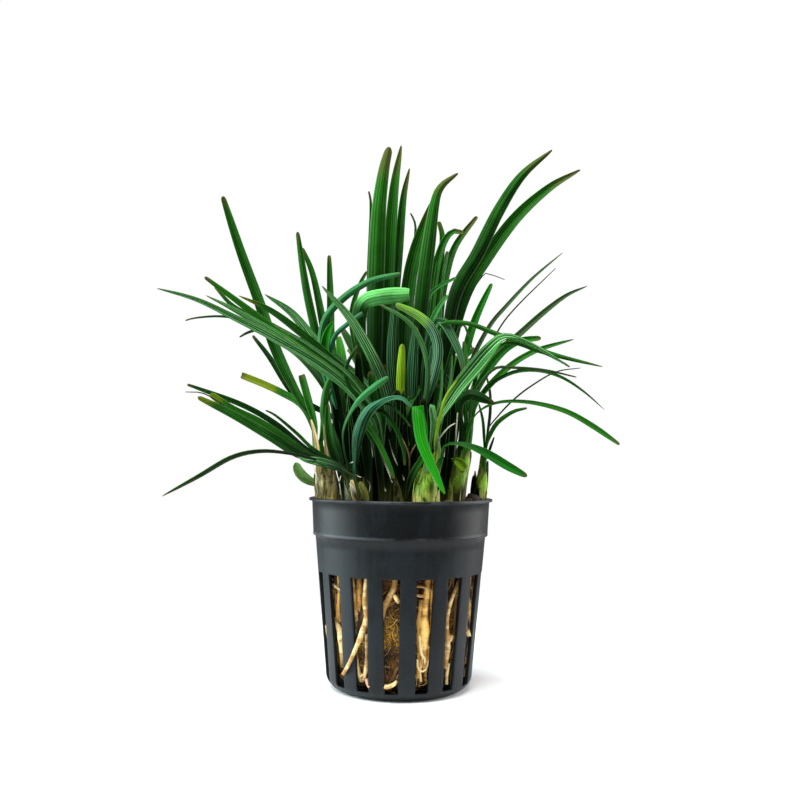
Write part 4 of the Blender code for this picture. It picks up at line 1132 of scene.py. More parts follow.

# %% Pale slivers in the dark between the shoots: painted glints, shaped as strips of old sheath
SLIVERS = tuple(
    Leaf(f"sliver_{k}", "", "bleached", width, (20, 40), route, 0.1, 0.5)
    for k, (width, route) in enumerate((
        (0.3, ((-8.5, 67.2, -14), (-8.2, 64.7, -14), (-7.9, 62.2, -14))),
        (0.55, ((-6.0, 64.2, -15), (-5.1, 61.9, -15.4), (-3.6, 58.4, -15.6), (-2.7, 55.9, -15.6))),
        (0.4, ((-12.8, 57.7, -17), (-11.9, 56.9, -17.2), (-11.0, 56.7, -17.2))),
        (0.35, ((-14.5, 60.4, -17), (-13.2, 60.9, -17))),
        (0.35, ((-3.4, 67.2, -14.6), (-2.6, 64, -15), (-1.7, 61.6, -15), (-0.9, 60, -15))),
        (0.5, ((-4.6, 54.1, -16), (-4.2, 52.7, -16))),
        (0.4, ((-17.4, 54, -11), (-16.8, 56.5, -11), (-16.5, 57.2, -11))),
        (0.4, ((-3.2, 56.6, -16.4), (-2.3, 55.2, -16.4))),
        (0.35, ((12.1, 64.9, -11), (11.9, 62.4, -11))),
        (0.6, ((-22.6, 51.2, -5), (-23, 55, -5), (-23.8, 58.1, -4.8), (-24.6, 60.3, -4.6))),
        (0.3, ((-9.4, 56, -17), (-8.6, 54.6, -17.4), (-8.8, 52.4, -17.4))),
        (0.3, ((0.4, 57.6, -17), (0.9, 55.8, -17.4))),
    ))
)
print(len(SLIVERS), "slivers")

# %% [markdown]
# ## Leaves inside the tuft
#
# The middle of the tuft is so full of leaves that it is nearly black, and most of its young leaves
# are given a nearly black finish, painted shade. Nobody sees where those leaves run, but without
# them the light would fall through. They are sown by rule: seven of the shoots get a few short
# arching leaves each, most of them towards the back, where the plant also has to be full.

# %% Sow the inner leaves
def inner_leaf(number, shoot, heading, length, lean):
    """A short leaf that rises from a shoot and arches over in a heading, in radians from +Y."""
    top = in_space(shoot.route[-1])
    level = Vector((math.sin(heading), math.cos(heading), 0))
    places = []
    for share in (0.22, 0.45, 0.72, 1.0):
        out = length * lean * share ** 1.7
        up = length * (share * (1 - 0.38 * lean * share))
        places.append(top + level * (out + 1.5 * MM) + Vector((0, 0, up)))
    finish = ("deep", "green", "striped", "deep")[number % 4]
    width = chance.uniform(2.0, 3.4)
    return Leaf(f"inner_{number}", shoot.name, finish, width, (heading * 30, 0), tuple(places))


# For each shoot: how many inner leaves, how long in millimetres, and how far they lean
INNER_PLAN = (
    ("tall", 5, 42, 0.5), ("mid", 5, 36, 0.45), ("back_right", 5, 42, 0.6), ("back_left", 5, 42, 0.6),
    ("back", 8, 46, 0.8), ("thick", 3, 30, 0.5), ("centre", 3, 26, 0.4),
)
# The upright young leaves: how many, and how far from the pot's middle, in millimetres
YOUNG_COUNT, YOUNG_REACH = 84, 16.5
INNER_LEAVES = []
for name, count, length, lean in INNER_PLAN:
    for k in range(count):
        heading = math.radians(-62 + 124 * (k + 0.5) / count + chance.uniform(-9, 9))
        INNER_LEAVES.append(inner_leaf(
            len(INNER_LEAVES), SHOOT_NAMED[name], heading, length * chance.uniform(0.75, 1.1) * MM,
            lean * chance.uniform(0.75, 1.1),
        ))
for k in range(YOUNG_COUNT):
    bearing, out = chance.uniform(0, 2 * math.pi), YOUNG_REACH * math.sqrt((k + 0.5) / YOUNG_COUNT)
    start = Vector((out * math.sin(bearing) - 1.0, out * math.cos(bearing) + 2.5, 48.2)) * MM
    lean = Vector((start.x * 0.25 + chance.uniform(-3, 3) * MM, chance.uniform(0, 6) * MM, 0))
    tall = chance.uniform(22, 44) * MM
    places = [start + lean * share ** 1.6 + Vector((0, 0, tall * share)) for share in (0, 0.3, 0.65, 1.0)]
    # Five in six young leaves get the shade finish, painted shade.
    INNER_LEAVES.append(Leaf(
        f"young_{k}", "", "shade" if k % 6 else "deep", chance.uniform(2.2, 3.6),
        (chance.uniform(-50, 50), 0), tuple(places), 0.3, 0.5,
    ))
print(len(INNER_LEAVES), "inner leaves")

# %% Grow the thin and inner leaves
def gather(title, leaves):
    """One piece for each finish among these leaves."""
    for finish in sorted({leaf.finish for leaf in leaves}):
        chosen = [(leaf, 0, 1) for leaf in leaves if leaf.finish == finish]
        piece = grow_leaves(f"{title}_{finish}", chosen, finish, ring_points=20)
        hand_in(piece, LEAF_SLOTS.get(finish, "leaf"))
        print(piece.name, len(chosen), "leaves", len(piece.data.polygons), "faces")


gather("thin_leaves", THIN_LEFT + THIN_MIDDLE + THIN_RIGHT + SLIVERS)
gather("inner_leaves", INNER_LEAVES)

# %% [markdown]
# ## Stems and roots
#
# Both are round and uneven: a stem has rings where old leaves sat, a root swells into water-storing
# knots. A bevelled curve would be perfectly round, so a second tree sweeps a ring along strands that
# carry a radius and pushes its points in and out with noise.

# %% The tree that makes stems and roots
def strand_tree():
    """The tree that sweeps an uneven round section along every strand."""
    inputs = new_tree("uneven_strand", {
        "Sides": 10, "Swell": 0.35, "Swell scale": 260.0, "Grain": 0.1, "Seed": 1.0,
    })
    line, place = strand_lines(inputs)
    tube = sweep(line, circle(inputs, inputs.out("Sides"), 1.0), Scale=named(inputs, "radius_here"))
    centre = named(inputs, "centre", "FLOAT_VECTOR")
    swell = (centre + inputs.out("Seed")).noise(inputs.out("Swell scale"), 1.0) - 0.5
    grain = place.noise(1400.0) - 0.5
    size = 1 + swell * inputs.out("Swell") * 2 + grain * inputs.out("Grain") * 2
    return end_tree(inputs, move(tube, Position=centre + (place - centre) * size))


STRAND_TREE = strand_tree()


def round_rows(points, radii, tone, spacing):
    """The rows of a round strand through the points, with its radii in millimetres."""
    count = max(6, round(running_length(points)[-1] / spacing))
    shares = [k / (count - 1) for k in range(count)]
    return [
        {"centre": place, "radius_here": radius_at(radii, share), "along": share, "tone": tone}
        for place, share in zip(smooth_through(points, count), shares)
    ]


# %% [markdown]
# ## Shoots and their old sheaths
#
# Where the leaves leave the wool the plant is cream and yellow-green with brown blotches, from
# the dried sheaths of leaves that are gone. The stem is a strand, and the old sheaths are short
# torn leaves that stay wrapped round it. Their finish follows the height above the wool.

# %% The finish of stems and sheaths
def sheath_finish():
    """Yellow-green skin with brown blotches, fine lines, a brown torn end and painted shade."""
    made, net, place = new_finish("sheath")
    along, tone, pale = (carried(net, label) for label in ("along", "tone", "pale"))
    left_right, height = place.part("X"), place.part("Z")
    lines = net.vector(left_right, place.part("Y"), height * 0.16).noise(1300.0, 4.0, 0.65).between(0.28, 0.7)
    patches = place.noise(230.0, 4.0, 0.62)
    spots = (place.noise(620.0, 3.0, 0.6) + (patches - 0.5) * 0.5).between(0.58, 0.66)
    lift = (height + (patches - 0.5) * 0.012).between(0.049, 0.055)
    old = 1 - left_right.between(-0.018, -0.008)
    green = lines.mix(rgb(0.03, 0.1, 0.003), rgb(0.36, 0.66, 0.05))
    green = old.mix(green, lines.mix(rgb(0.05, 0.036, 0.006), rgb(0.62, 0.55, 0.24)))
    cream = lines.mix(rgb(0.12, 0.09, 0.014), rgb(0.66, 0.56, 0.18))
    colour = lift.mix(cream, green)
    # Painted shade: the low part of the shoots from 12.5 to 22 mm right of the middle is nearly black.
    shade_band = left_right.between(0.0125, 0.0145) * (1 - left_right.between(0.0212, 0.0222))
    low_shade = (1 - (height + (patches - 0.5) * 0.01).between(0.052, 0.0575)) * shade_band
    colour = (low_shade * 0.93).mix(colour, rgb(0.006, 0.005, 0.002))
    # Painted shade: the stem and old sheaths of a hidden shoot, low in paleness, are nearly black.
    colour = pale.mix(lines.mix(rgb(0.004, 0.008, 0.001), rgb(0.03, 0.04, 0.008)), colour)
    blotches = (patches + (tone - 0.5) * 0.3).between(0.48, 0.6)
    colour = (blotches * 0.72).mix(colour, lines.mix(rgb(0.02, 0.012, 0.003), rgb(0.13, 0.085, 0.015)))
    colour = (spots * 0.8).mix(colour, rgb(0.012, 0.008, 0.003))
    torn = (along + (lines - 0.5) * 0.2).between(0.9, 0.97)
    colour = (torn * 0.85).mix(colour, rgb(0.1, 0.055, 0.015))
    end_finish(net, {
        "Base Color": colour, "Roughness": 0.45 + blotches * 0.3,
        "Normal": (lines + patches).bump(0.5, 0.12), "Specular IOR Level": 0.2,
    })
    return made


SHEATH = sheath_finish()

# %% Grow the stems
SHEATH_STEPS = 15
OLD_SHEATHS = 3


def old_sheath(shoot, bearing, share, layer, tone, pale):
    """The rows of a torn sheath that hugs the side of a shoot up to a share of its height."""
    axis = smooth_through([in_space(p) for p in shoot.route], SHEATH_STEPS + 1)
    axis[0].z = WOOL_TOP - GAP
    side = Vector((math.sin(bearing), -math.cos(bearing), 0))
    count = max(6, round(SHEATH_STEPS * share))
    rows = []
    for k in range(count):
        t = k / (count - 1)
        radius = radius_at(shoot.radii, t * share) + layer
        spread = 1.5 * (1 - 0.9 * t ** 1.6)
        rows.append({
            "centre": axis[k] + side * (radius + 0.5 * MM * max(0.0, t - 0.7)),
            "across": Vector((math.cos(bearing), math.sin(bearing), 0)),
            "face": -side, "half": radius * spread, "bend": max(0.3, spread), "along": t, "tone": tone,
            "pale": pale,
        })
    return rows


old_sheaths = []
for shoot in SHOOTS:
    pale = PALENESS_AND_LIGHT[shoot.name]
    rows = round_rows(shoot_axis(shoot), shoot.radii, chance.random(), 0.5 * MM)
    stem = grow_strands(
        "stem_" + shoot.name, [[row | {"pale": pale} for row in rows]], STRAND_TREE,
        finish=SHEATH, sides=28, swell=0.08, grain=0.04, seed=chance.uniform(0, 9),
    )
    hand_in(stem, "sheath", "shoot_" + shoot.name)
    for k in range(OLD_SHEATHS):
        bearing = math.radians(360 / OLD_SHEATHS * k + chance.uniform(-40, 40))
        layer = (0.75 + 0.12 * k) * MM
        share = chance.uniform(0.55, 1.0)
        old_sheaths.append(old_sheath(shoot, bearing, share, layer, chance.random(), pale))
piece = grow_strands(
    "old_sheaths", old_sheaths, LEAF_TREE,
    finish=SHEATH, ring_points=28, thickness=0.22 * MM, keel=0.0, ripple=0.7 * MM,
)
hand_in(piece, "sheath")
print(len(SHOOTS), "stems with", len(old_sheaths), "old sheaths")

# %% [markdown]
# ## Roots
#
# Behind the slots the roots run between the wool and the wall: thick cream ones with tuberous
# swellings, thinner tan ones, and a few that leave through a slot. The ones that show are drawn
# on the wall, as (degrees round it, height, depth inside its outer face). Behind the other slots
# they are sown by rule, wandering down in the same space.

# %% The pot's wall, which the roots follow
COLLAR_LOW_Z = 41.0 * MM
BODY_TOP_RADIUS = 23.35 * MM
BODY_LOW_RADIUS = 20.0 * MM
BODY_LOW_Z = 4.6 * MM


def body_radius(z):
    """The outer radius of the pot's body at a height."""
    share = (z - BODY_LOW_Z) / (COLLAR_LOW_Z - BODY_LOW_Z)
    return BODY_LOW_RADIUS + (BODY_TOP_RADIUS - BODY_LOW_RADIUS) * share


def by_wall(point):
    """The place in metres of a root's route point, which is given by the pot's wall."""
    degrees, height, depth = point
    wall = body_radius(height * MM)
    across = wall * math.sin(math.radians(degrees))
    back = -math.sqrt((wall - depth * MM) ** 2 - across ** 2)
    return Vector((across, back, height * MM))


def round_wall(point):
    """The same for a point anywhere round the pot, with its depth measured to the axis."""
    degrees, height, depth = point
    radius, angle = body_radius(height * MM) - depth * MM, math.radians(degrees)
    return Vector((radius * math.sin(angle), -radius * math.cos(angle), height * MM))


# %% Roots that show from the front
class Root(NamedTuple):
    """A root: points (degrees, height, depth) by the wall, and radii in millimetres."""

    route: tuple
    radii: tuple
    finish: str = "cream"


ROOTS = {
    "root_outside": Root(((-22, 33, 2.2), (-24, 26, 2.1), (-22.6, 21.5, 2.0), (-26.6, 17.6, 1.2),
        (-32.5, 13.4, -0.95), (-39.5, 9.2, -0.95), (-45.5, 6.4, -0.7)),
        (0.55, 0.6, 0.9, 0.9, 0.5, 0.5, 0.45)),
    "root_tuber": Root(((18.5, 33, 2.3), (18, 27.5, 2.1), (17.2, 22, 2.0), (17.6, 17.2, 1.8),
        (18, 13.6, 2.1), (19, 8, 2.1)), (0.7, 0.8, 0.8, 1.45, 0.8, 0.6), "golden"),
    "root_front": Root(((-3.4, 33.5, 2.3), (-3.8, 29.4, 2.1), (-7.4, 26.4, 2.1), (-11.5, 23, 2.2),
        (-15, 17, 2.4), (-14, 10, 2.3)), (0.75, 0.8, 0.8, 0.75, 0.7, 0.5)),
    "root_right": Root(((45.5, 31.6, 2.2), (40, 27.5, 2.0), (36.2, 24, 1.9), (34.8, 19.5, 2.1),
        (36.4, 14.4, 2.0), (36, 8, 2.0)), (0.45, 0.5, 0.5, 0.6, 1.0, 0.6)),
}
SHOWN_ROOTS = (
    # Slot at the far left
    Root(((-46.5, 33, 2.4), (-46, 27, 2.3), (-47.5, 23, 2.2), (-47, 19, 2.4)), (0.35, 0.45, 0.5, 0.35),
         "tan"),
    Root(((-56, 29, 2.2), (-50, 28.3, 1.8), (-44, 27.2, 2.2)), (0.3, 0.4, 0.3)),
    Root(((-50, 26, 2.6), (-49, 21, 2.2), (-51, 17.5, 2.6)), (0.6, 0.7, 0.5), "tan"),
    Root(((-54, 19.4, 2.4), (-50, 17.6, 2.1), (-47, 15.4, 2.0), (-46.4, 11.6, 2.2), (-48, 7, 2.6)),
         (0.5, 0.9, 1.05, 0.8, 0.4)),
    Root(((-52, 15.2, 1.9), (-48, 14.2, 1.4), (-45, 15.6, 1.7)), (0.3, 0.4, 0.3)),
    # Slot left of the middle
    Root(((-34.4, 33, 2.2), (-33.4, 28, 1.9), (-32, 24, 2.0), (-31.4, 20, 2.5)), (0.7, 0.85, 0.8, 0.5)),
    Root(((-27.4, 33, 2.7), (-28, 28, 2.6), (-29, 23, 2.7)), (0.6, 0.8, 0.6), "tan"),
    Root(((-23.6, 26, 2.9), (-28, 20, 2.8), (-31.5, 15.5, 2.9)), (0.6, 0.7, 0.5), "dark"),
    Root(((-23.8, 17, 2.2), (-24, 13, 2.0), (-24.2, 9.4, 2.0), (-26, 6, 2.2), (-28.6, 4.6, 2.4)),
         (0.4, 0.45, 0.5, 0.55, 0.5)),
    Root(((-34, 13.8, 2.4), (-33, 10.4, 2.0), (-31.4, 7, 2.1), (-28.6, 4.6, 2.4)), (0.5, 0.65, 0.7, 0.5)),
    Root(((-24.5, 5.4, 1.6), (-23, 4.4, 0.6), (-21.8, 3.9, 0.2)), (0.45, 0.55, 0.4), "pink"),
    Root(((-33, 7.4, 1.9), (-30, 6.0, 1.7), (-27.6, 6.6, 1.9)), (0.3, 0.4, 0.3)),
    # Slot in the middle
    Root(((-3.6, 27.4, 1.5), (-2.2, 26.5, 1.2), (-0.8, 25.6, 1.5)), (0.5, 0.62, 0.5)),
    Root(((-0.4, 9, 2.6), (-2.6, 7.6, 2.3), (-4.8, 5.6, 2.6)), (0.4, 0.5, 0.4), "tan"),
    Root(((-12.6, 27, 2.8), (-10.4, 24.4, 2.6), (-11.2, 20.4, 2.8)), (0.6, 0.8, 0.5), "dark"),
    Root(((-13.4, 4.5, 1.6), (-9, 4.3, 0.2), (-4, 5.0, 0.3), (-1.8, 5.4, 1.5)), (0.5, 0.6, 0.6, 0.4)),
    # Slot right of the middle
    Root(((10.4, 29.6, 1.9), (15, 29.5, 1.5), (20.8, 28.6, 1.7)), (0.35, 0.45, 0.4)),
    Root(((10.6, 27.4, 1.9), (14, 27.1, 1.6), (17.6, 27.3, 1.9)), (0.3, 0.4, 0.35)),
    Root(((22.3, 32.5, 2.2), (22, 27, 2.0), (22.4, 21, 2.1), (22, 14, 2.3)), (0.5, 0.6, 0.6, 0.5), "tan"),
    Root(((13.4, 12, 2.0), (15.4, 13.4, 1.7), (19, 14.4, 1.5), (21.6, 13, 1.6), (20.6, 10.4, 1.7),
         (16.8, 9.8, 1.9)), (0.35, 0.45, 0.45, 0.45, 0.45, 0.35)),
    Root(((14.4, 26, 2.7), (13.6, 20, 2.6), (14.2, 13, 2.8), (13.8, 6, 2.7)), (0.6, 0.7, 0.6, 0.5), "tan"),
    Root(((16.4, 11, 2.1), (15.4, 8, 2.0), (16.2, 5.2, 2.4)), (0.3, 0.4, 0.35)),
    Root(((20.2, 11, 2.2), (19.2, 8, 2.1), (20.2, 5, 2.4)), (0.35, 0.45, 0.35), "tan"),
    Root(((12.8, 11, 1.7), (13.6, 8.8, 1.3), (17, 8.0, 1.2), (20.4, 9.2, 1.4), (21.4, 12.6, 1.7)),
         (0.25, 0.32, 0.3, 0.3, 0.25)),
    Root(((18.6, 12.8, 1.6), (16.4, 11, 1.3), (17.8, 9, 1.2), (19.6, 10.4, 1.3), (18.4, 13, 1.6)),
         (0.25, 0.3, 0.3, 0.3, 0.25)),
    Root(((14, 17, 2.0), (15.8, 12.4, 1.4), (18.2, 11.4, 1.3), (18.6, 9, 1.6)), (0.35, 0.4, 0.35, 0.3)),
    # Slots on the right
    Root(((34.8, 19, 2.4), (36, 15, 1.8), (40.4, 15.8, 2.0), (43, 14, 2.4)), (0.5, 0.7, 0.6, 0.4)),
    Root(((43, 30, 2.4), (42, 24, 2.3), (42.6, 17, 2.5), (41, 10, 2.6)), (0.5, 0.6, 0.5, 0.4), "tan"),
    Root(((39, 9, 2.1), (38, 6, 2.0), (38.6, 3.6, 2.2)), (0.4, 0.5, 0.4)),
    Root(((60, 24, 2.4), (61.6, 19, 2.0), (61.4, 13, 2.2)), (0.5, 0.6, 0.4)),
    Root(((58.2, 13, 2.2), (57.4, 9, 2.0), (57.6, 5, 2.3)), (0.4, 0.5, 0.4), "tan"),
)
print(len(ROOTS), "thick roots and", len(SHOWN_ROOTS), "more that show")


# %% The finishes of roots
ROOT_FINISHES = {}


def root_finish(name, skin, shade):
    """Makes a fleshy root skin between two colours, with darker pits and fine rings."""
    made, net, place = new_finish("root_" + name)
    along, tone = carried(net, "along"), carried(net, "tone")
    patches = place.noise(330.0, 4.0, 0.6)
    rings = net.vector(along * 60, tone * 50, 0.0).noise(1.6, 2.0)
    blend = (patches + (tone - 0.5) * 0.25 + (rings - 0.5) * 0.3).between(0.38, 0.64)
    colour = blend.mix(rgb(*shade), rgb(*skin))
    pits = (place.noise(1300.0, 3.0, 0.6) + (tone - 0.5) * 0.08).between(0.62, 0.72)
    colour = (pits * 0.35).mix(colour, rgb(0.2, 0.09, 0.02))
    bump = (patches + rings * 0.6).bump(0.5, 0.1)
    end_finish(net, {"Base Color": colour, "Roughness": 0.42 + patches * 0.3, "Normal": bump})
    ROOT_FINISHES[name] = made


root_finish("cream", (0.88, 0.66, 0.3), (0.36, 0.18, 0.035))
root_finish("golden", (0.9, 0.56, 0.15), (0.36, 0.16, 0.018))
root_finish("tan", (0.62, 0.34, 0.07), (0.13, 0.05, 0.007))
root_finish("dark", (0.1, 0.05, 0.014), (0.018, 0.008, 0.003))
root_finish("pink", (0.7, 0.42, 0.32), (0.4, 0.2, 0.12))
print(len(ROOT_FINISHES), "root finishes")

# %% Grow the roots that show
for name, root in ROOTS.items():
    rows = round_rows([by_wall(p) for p in root.route], root.radii, chance.random(), 0.45 * MM)
    piece = grow_strands(
        "thick_" + name, [rows], STRAND_TREE,
        finish=ROOT_FINISHES[root.finish], sides=20, swell=0.16, seed=chance.uniform(0, 9),
    )
    hand_in(piece, "root", name)
for finish in sorted({root.finish for root in SHOWN_ROOTS}):
    strands = [
        round_rows([by_wall(p) for p in root.route], root.radii, chance.random(), 0.6 * MM)
        for root in SHOWN_ROOTS if root.finish == finish
    ]
    piece = grow_strands(
        "front_roots_" + finish, strands, STRAND_TREE,
        finish=ROOT_FINISHES[finish], sides=12, swell=0.36, swell_scale=330.0, seed=2.5,
    )
    hand_in(piece, "root")
    print(piece.name, len(strands), "roots")


# %% Sow the other roots
def wandering_root(degrees, thick):
    """A root that wanders down behind the wall from about these degrees."""
    height = chance.uniform(30, 37)
    low = chance.choice((3, 3, 6, 12))
    depth = chance.uniform(1.7, 2.5)
    points, radii = [], []
    while height > low:
        points.append(round_wall((degrees, height, depth)))
        radii.append(thick * chance.uniform(0.75, 1.2) * (1.9 if chance.random() < 0.12 else 1.0))
        height -= chance.uniform(2.2, 5.0)
        degrees += chance.uniform(-6.5, 6.5)
        depth = min(2.9, max(1.5, depth + chance.uniform(-0.5, 0.5)))
    return points, radii


def cross_root(degrees):
    """A short root that crosses a slot, loops or bends back on itself."""
    height, depth = chance.uniform(5, 31), chance.uniform(1.5, 2.2)
    points = []
    for k in range(4):
        points.append(round_wall((degrees + k * chance.uniform(1.5, 4.5), height, depth)))
        height += chance.uniform(-1.8, 1.4)
    return points, [0.3, 0.45, 0.4, 0.3]


# How far from the front's middle, in degrees: up to FRONT_BARE nothing is sown, up to FRONT_SPARSE
# only at every third place, and up to FRONT what is sown lies deeper and is dark
SOWN_PLACES = 96
FRONT, FRONT_SPARSE, FRONT_BARE = 66, 50, 22
sown = {"cream": [], "tan": [], "dark": []}
for k in range(SOWN_PLACES):
    degrees = 360 * k / SOWN_PLACES + chance.uniform(-1.6, 1.6)
    from_front = abs((degrees + 180) % 360 - 180)
    behind_front = from_front < FRONT
    finish = "dark" if behind_front else chance.choice(("cream", "cream", "tan", "tan", "dark"))
    if from_front < FRONT_BARE or (from_front < FRONT_SPARSE and k % 3):
        continue
    points, radii = wandering_root(degrees, chance.uniform(0.35, 0.7))
    if behind_front:
        points = [p - Vector((p.x, p.y, 0)).normalized() * 1.1 * MM for p in points]
    sown[finish].append(round_rows(points, radii, chance.random(), 1.0 * MM))
    if not behind_front and chance.random() < 0.45:
        points, radii = cross_root(degrees)
        sown["cream"].append(round_rows(points, radii, chance.random(), 0.8 * MM))
# Thick dark roots behind the slots at both sides
for side in (-1, 1):
    for degrees in (68, 77, 86, 95):
        points = [round_wall((side * degrees, height, 2.3)) for height in (34, 24, 14, 4.2)]
        sown["dark"].append(round_rows(points, (0.8, 1.0, 1.0, 0.8), chance.random(), 1.5 * MM))
for finish, strands in sown.items():
    piece = grow_strands(
        "sown_roots_" + finish, strands, STRAND_TREE, finish=ROOT_FINISHES[finish], sides=8, seed=4.0,
    )
    hand_in(piece, "root")
    print(piece.name, len(strands), "roots", len(piece.data.polygons), "faces")

# %% [markdown]
# ## Growing wool
#
# The wool is a springy block of brown fibres that the shoots are planted in. It could be thousands
# of loose threads, but a lumpy block with a coat of short fibres looks the same and stays light.
# The block is a turned shape whose points are pushed in and out by noise.

# %% Turn a closed shape
def dense(profile, step):
    """The same profile with points at most a step apart."""
    points = [profile[0]]
    for a, b in zip(profile, profile[1:]):
        pieces = max(1, math.ceil(math.dist(a, b) / step))
        points += [(a[0] + (b[0] - a[0]) * k / pieces, a[1] + (b[1] - a[1]) * k / pieces)
                   for k in range(1, pieces + 1)]
    return points


def turned(name, profile, steps):
    """A closed mesh turned about Z; the profile runs from the axis to the axis."""
    shape = bmesh.new()
    top, bottom = (shape.verts.new((0, 0, profile[k][1])) for k in (0, -1))
    rings = []
    for radius, z in profile[1:-1]:
        rings.append([
            shape.verts.new((radius * math.cos(a), radius * math.sin(a), z))
            for a in (2 * math.pi * k / steps for k in range(steps))
        ])
    for k in range(steps):
        after = (k + 1) % steps
        shape.faces.new((top, rings[0][k], rings[0][after]))
        shape.faces.new((bottom, rings[-1][after], rings[-1][k]))
        for above, below in zip(rings, rings[1:]):
            shape.faces.new((above[k], below[k], below[after], above[after]))
    return as_mesh(name, shape)


# %% The tree that roughens the wool
def wool_tree():
    """The tree that pushes a smooth block into clumps."""
    inputs = new_tree("wool_clumps", {
        "Clump height": 0.9 * MM, "Clump scale": 260.0, "Tuft height": 0.5 * MM,
    })
    place = inputs.node("GeometryNodeInputPosition")
    outward = inputs.node("GeometryNodeInputNormal")
    clumps = place.noise(inputs.out("Clump scale"), 2.0) - 0.5
    tufts = place.noise(900.0, 2.0) - 0.5
    push = clumps * inputs.out("Clump height") * 2 + tufts * inputs.out("Tuft height") * 2
    return end_tree(inputs, move(inputs.out("Geometry"), Offset=outward * push))


# The outline of the block, as (radius, height) in millimetres
WOOL_PROFILE = [
    (0, 48.4), (20.5, 48.2), (22.4, 47.2), (21.8, 43), (19.4, 34.5), (18.5, 25), (17.3, 5), (14.8, 2.6),
    (0, 2.6),
]
wool_points = dense([(r * MM, z * MM) for r, z in WOOL_PROFILE], 0.8 * MM)


# %% The finish of the wool
def golden_zone(height, clumps):
    """1 in the band of the wool that is golden, whose edges are uneven, and 0 elsewhere."""
    uneven = height + (clumps - 0.5) * 0.008
    return uneven.between(0.012, 0.0155) * (1 - uneven.between(0.0205, 0.0235))


def wool_finish():
    """Golden-brown fibres over nearly black gaps of painted shade."""
    made, net, place = new_finish("growing_wool")
    height = place.part("Z")
    clumps = place.noise(230.0, 3.0, 0.6)
    fibres = place.noise(2200.0, 5.0, 0.75)
    # Painted shade: where the fibres are thin, the gaps between them are nearly black.
    thick = (fibres * 0.9 + clumps * 0.6).between(0.62, 0.98)
    colour = thick.mix(rgb(0.006, 0.003, 0.001), rgb(0.3, 0.13, 0.017))
    lit = fibres.between(0.42, 0.66) * (0.3 + clumps.between(0.35, 0.62) * 0.7)
    colour = (golden_zone(height, clumps) * lit).mix(colour, rgb(0.78, 0.42, 0.04))
    # Darker towards the top of the wool.
    dark_top = fibres.mix(rgb(0.006, 0.004, 0.003), rgb(0.05, 0.03, 0.012))
    colour = height.between(0.044, 0.048).mix(colour, dark_top)
    end_finish(net, {"Base Color": colour, "Roughness": 0.92, "Normal": (fibres + clumps).bump(0.8, 0.3)})
    return made


WOOL = wool_finish()
wool_block = grow("wool_block", turned("wool_block", wool_points, 150), wool_tree(), finish=WOOL)
hand_in(wool_block, "growing_wool", "growing_wool")
print("wool block:", len(wool_block.data.polygons), "faces")

# %% [markdown]
# The coat of fibres is one short bent thread, repeated on points that are scattered over the block.
# Each copy is turned at random about the wool's outward direction and has its own tone.

# %% The tree that scatters fibres
def fibre_tree():
    """The tree that scatters short bent threads over a surface."""
    inputs = new_tree("wool_fibres", {
        "Density": 420000.0, "Fibre length": 4.2 * MM, "Fibre radius": 0.09 * MM, "Seed": 5,
    })
    points = inputs.node(
        "GeometryNodeDistributePointsOnFaces", {},
        {"Mesh": inputs.out("Geometry"), "Density": inputs.out("Density"), "Seed": inputs.out("Seed")},
    )
    length = inputs.out("Fibre length")
    thread = inputs.node("GeometryNodeCurveQuadraticBezier", {}, {
        "Resolution": 4,
        "Start": inputs.vector(length * -0.5, 0.0, 0.0),
        "Middle": inputs.vector(0.0, length * 0.45, length * 0.2),
        "End": inputs.vector(length * 0.5, 0.0, 0.0),
    })
    tube = sweep(thread, circle(inputs, 3, inputs.out("Fibre radius")))
    size = random_value(inputs, 0.5, 1.6, inputs.out("Seed"))
    spin = random_value(inputs, (-0.25, -0.25, 0.0), (0.25, 0.25, 2 * math.pi), inputs.out("Seed"))
    spin = inputs.node("FunctionNodeEulerToRotation", {}, {0: spin})
    turn = {0: points.out("Rotation"), 1: spin}
    copies = inputs.node("GeometryNodeInstanceOnPoints", {}, {
        "Points": points, "Instance": tube, "Scale": size,
        "Rotation": inputs.node("FunctionNodeRotateRotation", {"rotation_space": "LOCAL"}, turn),
    })
    tone = random_value(inputs, 0.0, 1.0, 9)
    return end_tree(inputs, stored(inputs, copies, "tone", tone, domain="INSTANCE"))


def fibre_finish():
    """Threads from golden to dark brown, by their own tone."""
    made, net, place = new_finish("wool_fibre")
    tone = carried(net, "tone")
    height = place.part("Z")
    colour = net.node("ShaderNodeValToRGB", {"stops": (
        (0.0, rgb(0.02, 0.011, 0.004)), (0.45, rgb(0.1, 0.05, 0.012)), (0.8, rgb(0.34, 0.19, 0.045)),
        (1.0, rgb(0.6, 0.42, 0.14)),
    )}, {"Fac": tone})
    golden = golden_zone(height, place.noise(230.0, 3.0, 0.6))
    colour = (golden * 0.75).mix(colour, tone.mix(rgb(0.1, 0.045, 0.006), rgb(0.95, 0.6, 0.12)))
    # The threads are darker towards the top of the wool too.
    colour = (height.between(0.044, 0.047) * 0.75).mix(colour, rgb(0.02, 0.012, 0.006))
    end_finish(net, {"Base Color": colour, "Roughness": 0.7})
    return made


# %% Scatter the fibres
fibres = grow("wool_fibres", wool_block.data.copy(), fibre_tree(), finish=fibre_finish())
hand_in(fibres, "growing_wool")
print("fibres:", len(fibres.data.polygons), "faces")

# %% [markdown]
# ## Crumbs of soil
#
# Between the shoots lie dark crumbs, and a few bigger lumps stand above the lip on the right. Each
# is a ball of a few dozen faces, pushed out of shape and repeated with its own size and turn on
# the points that are listed here.

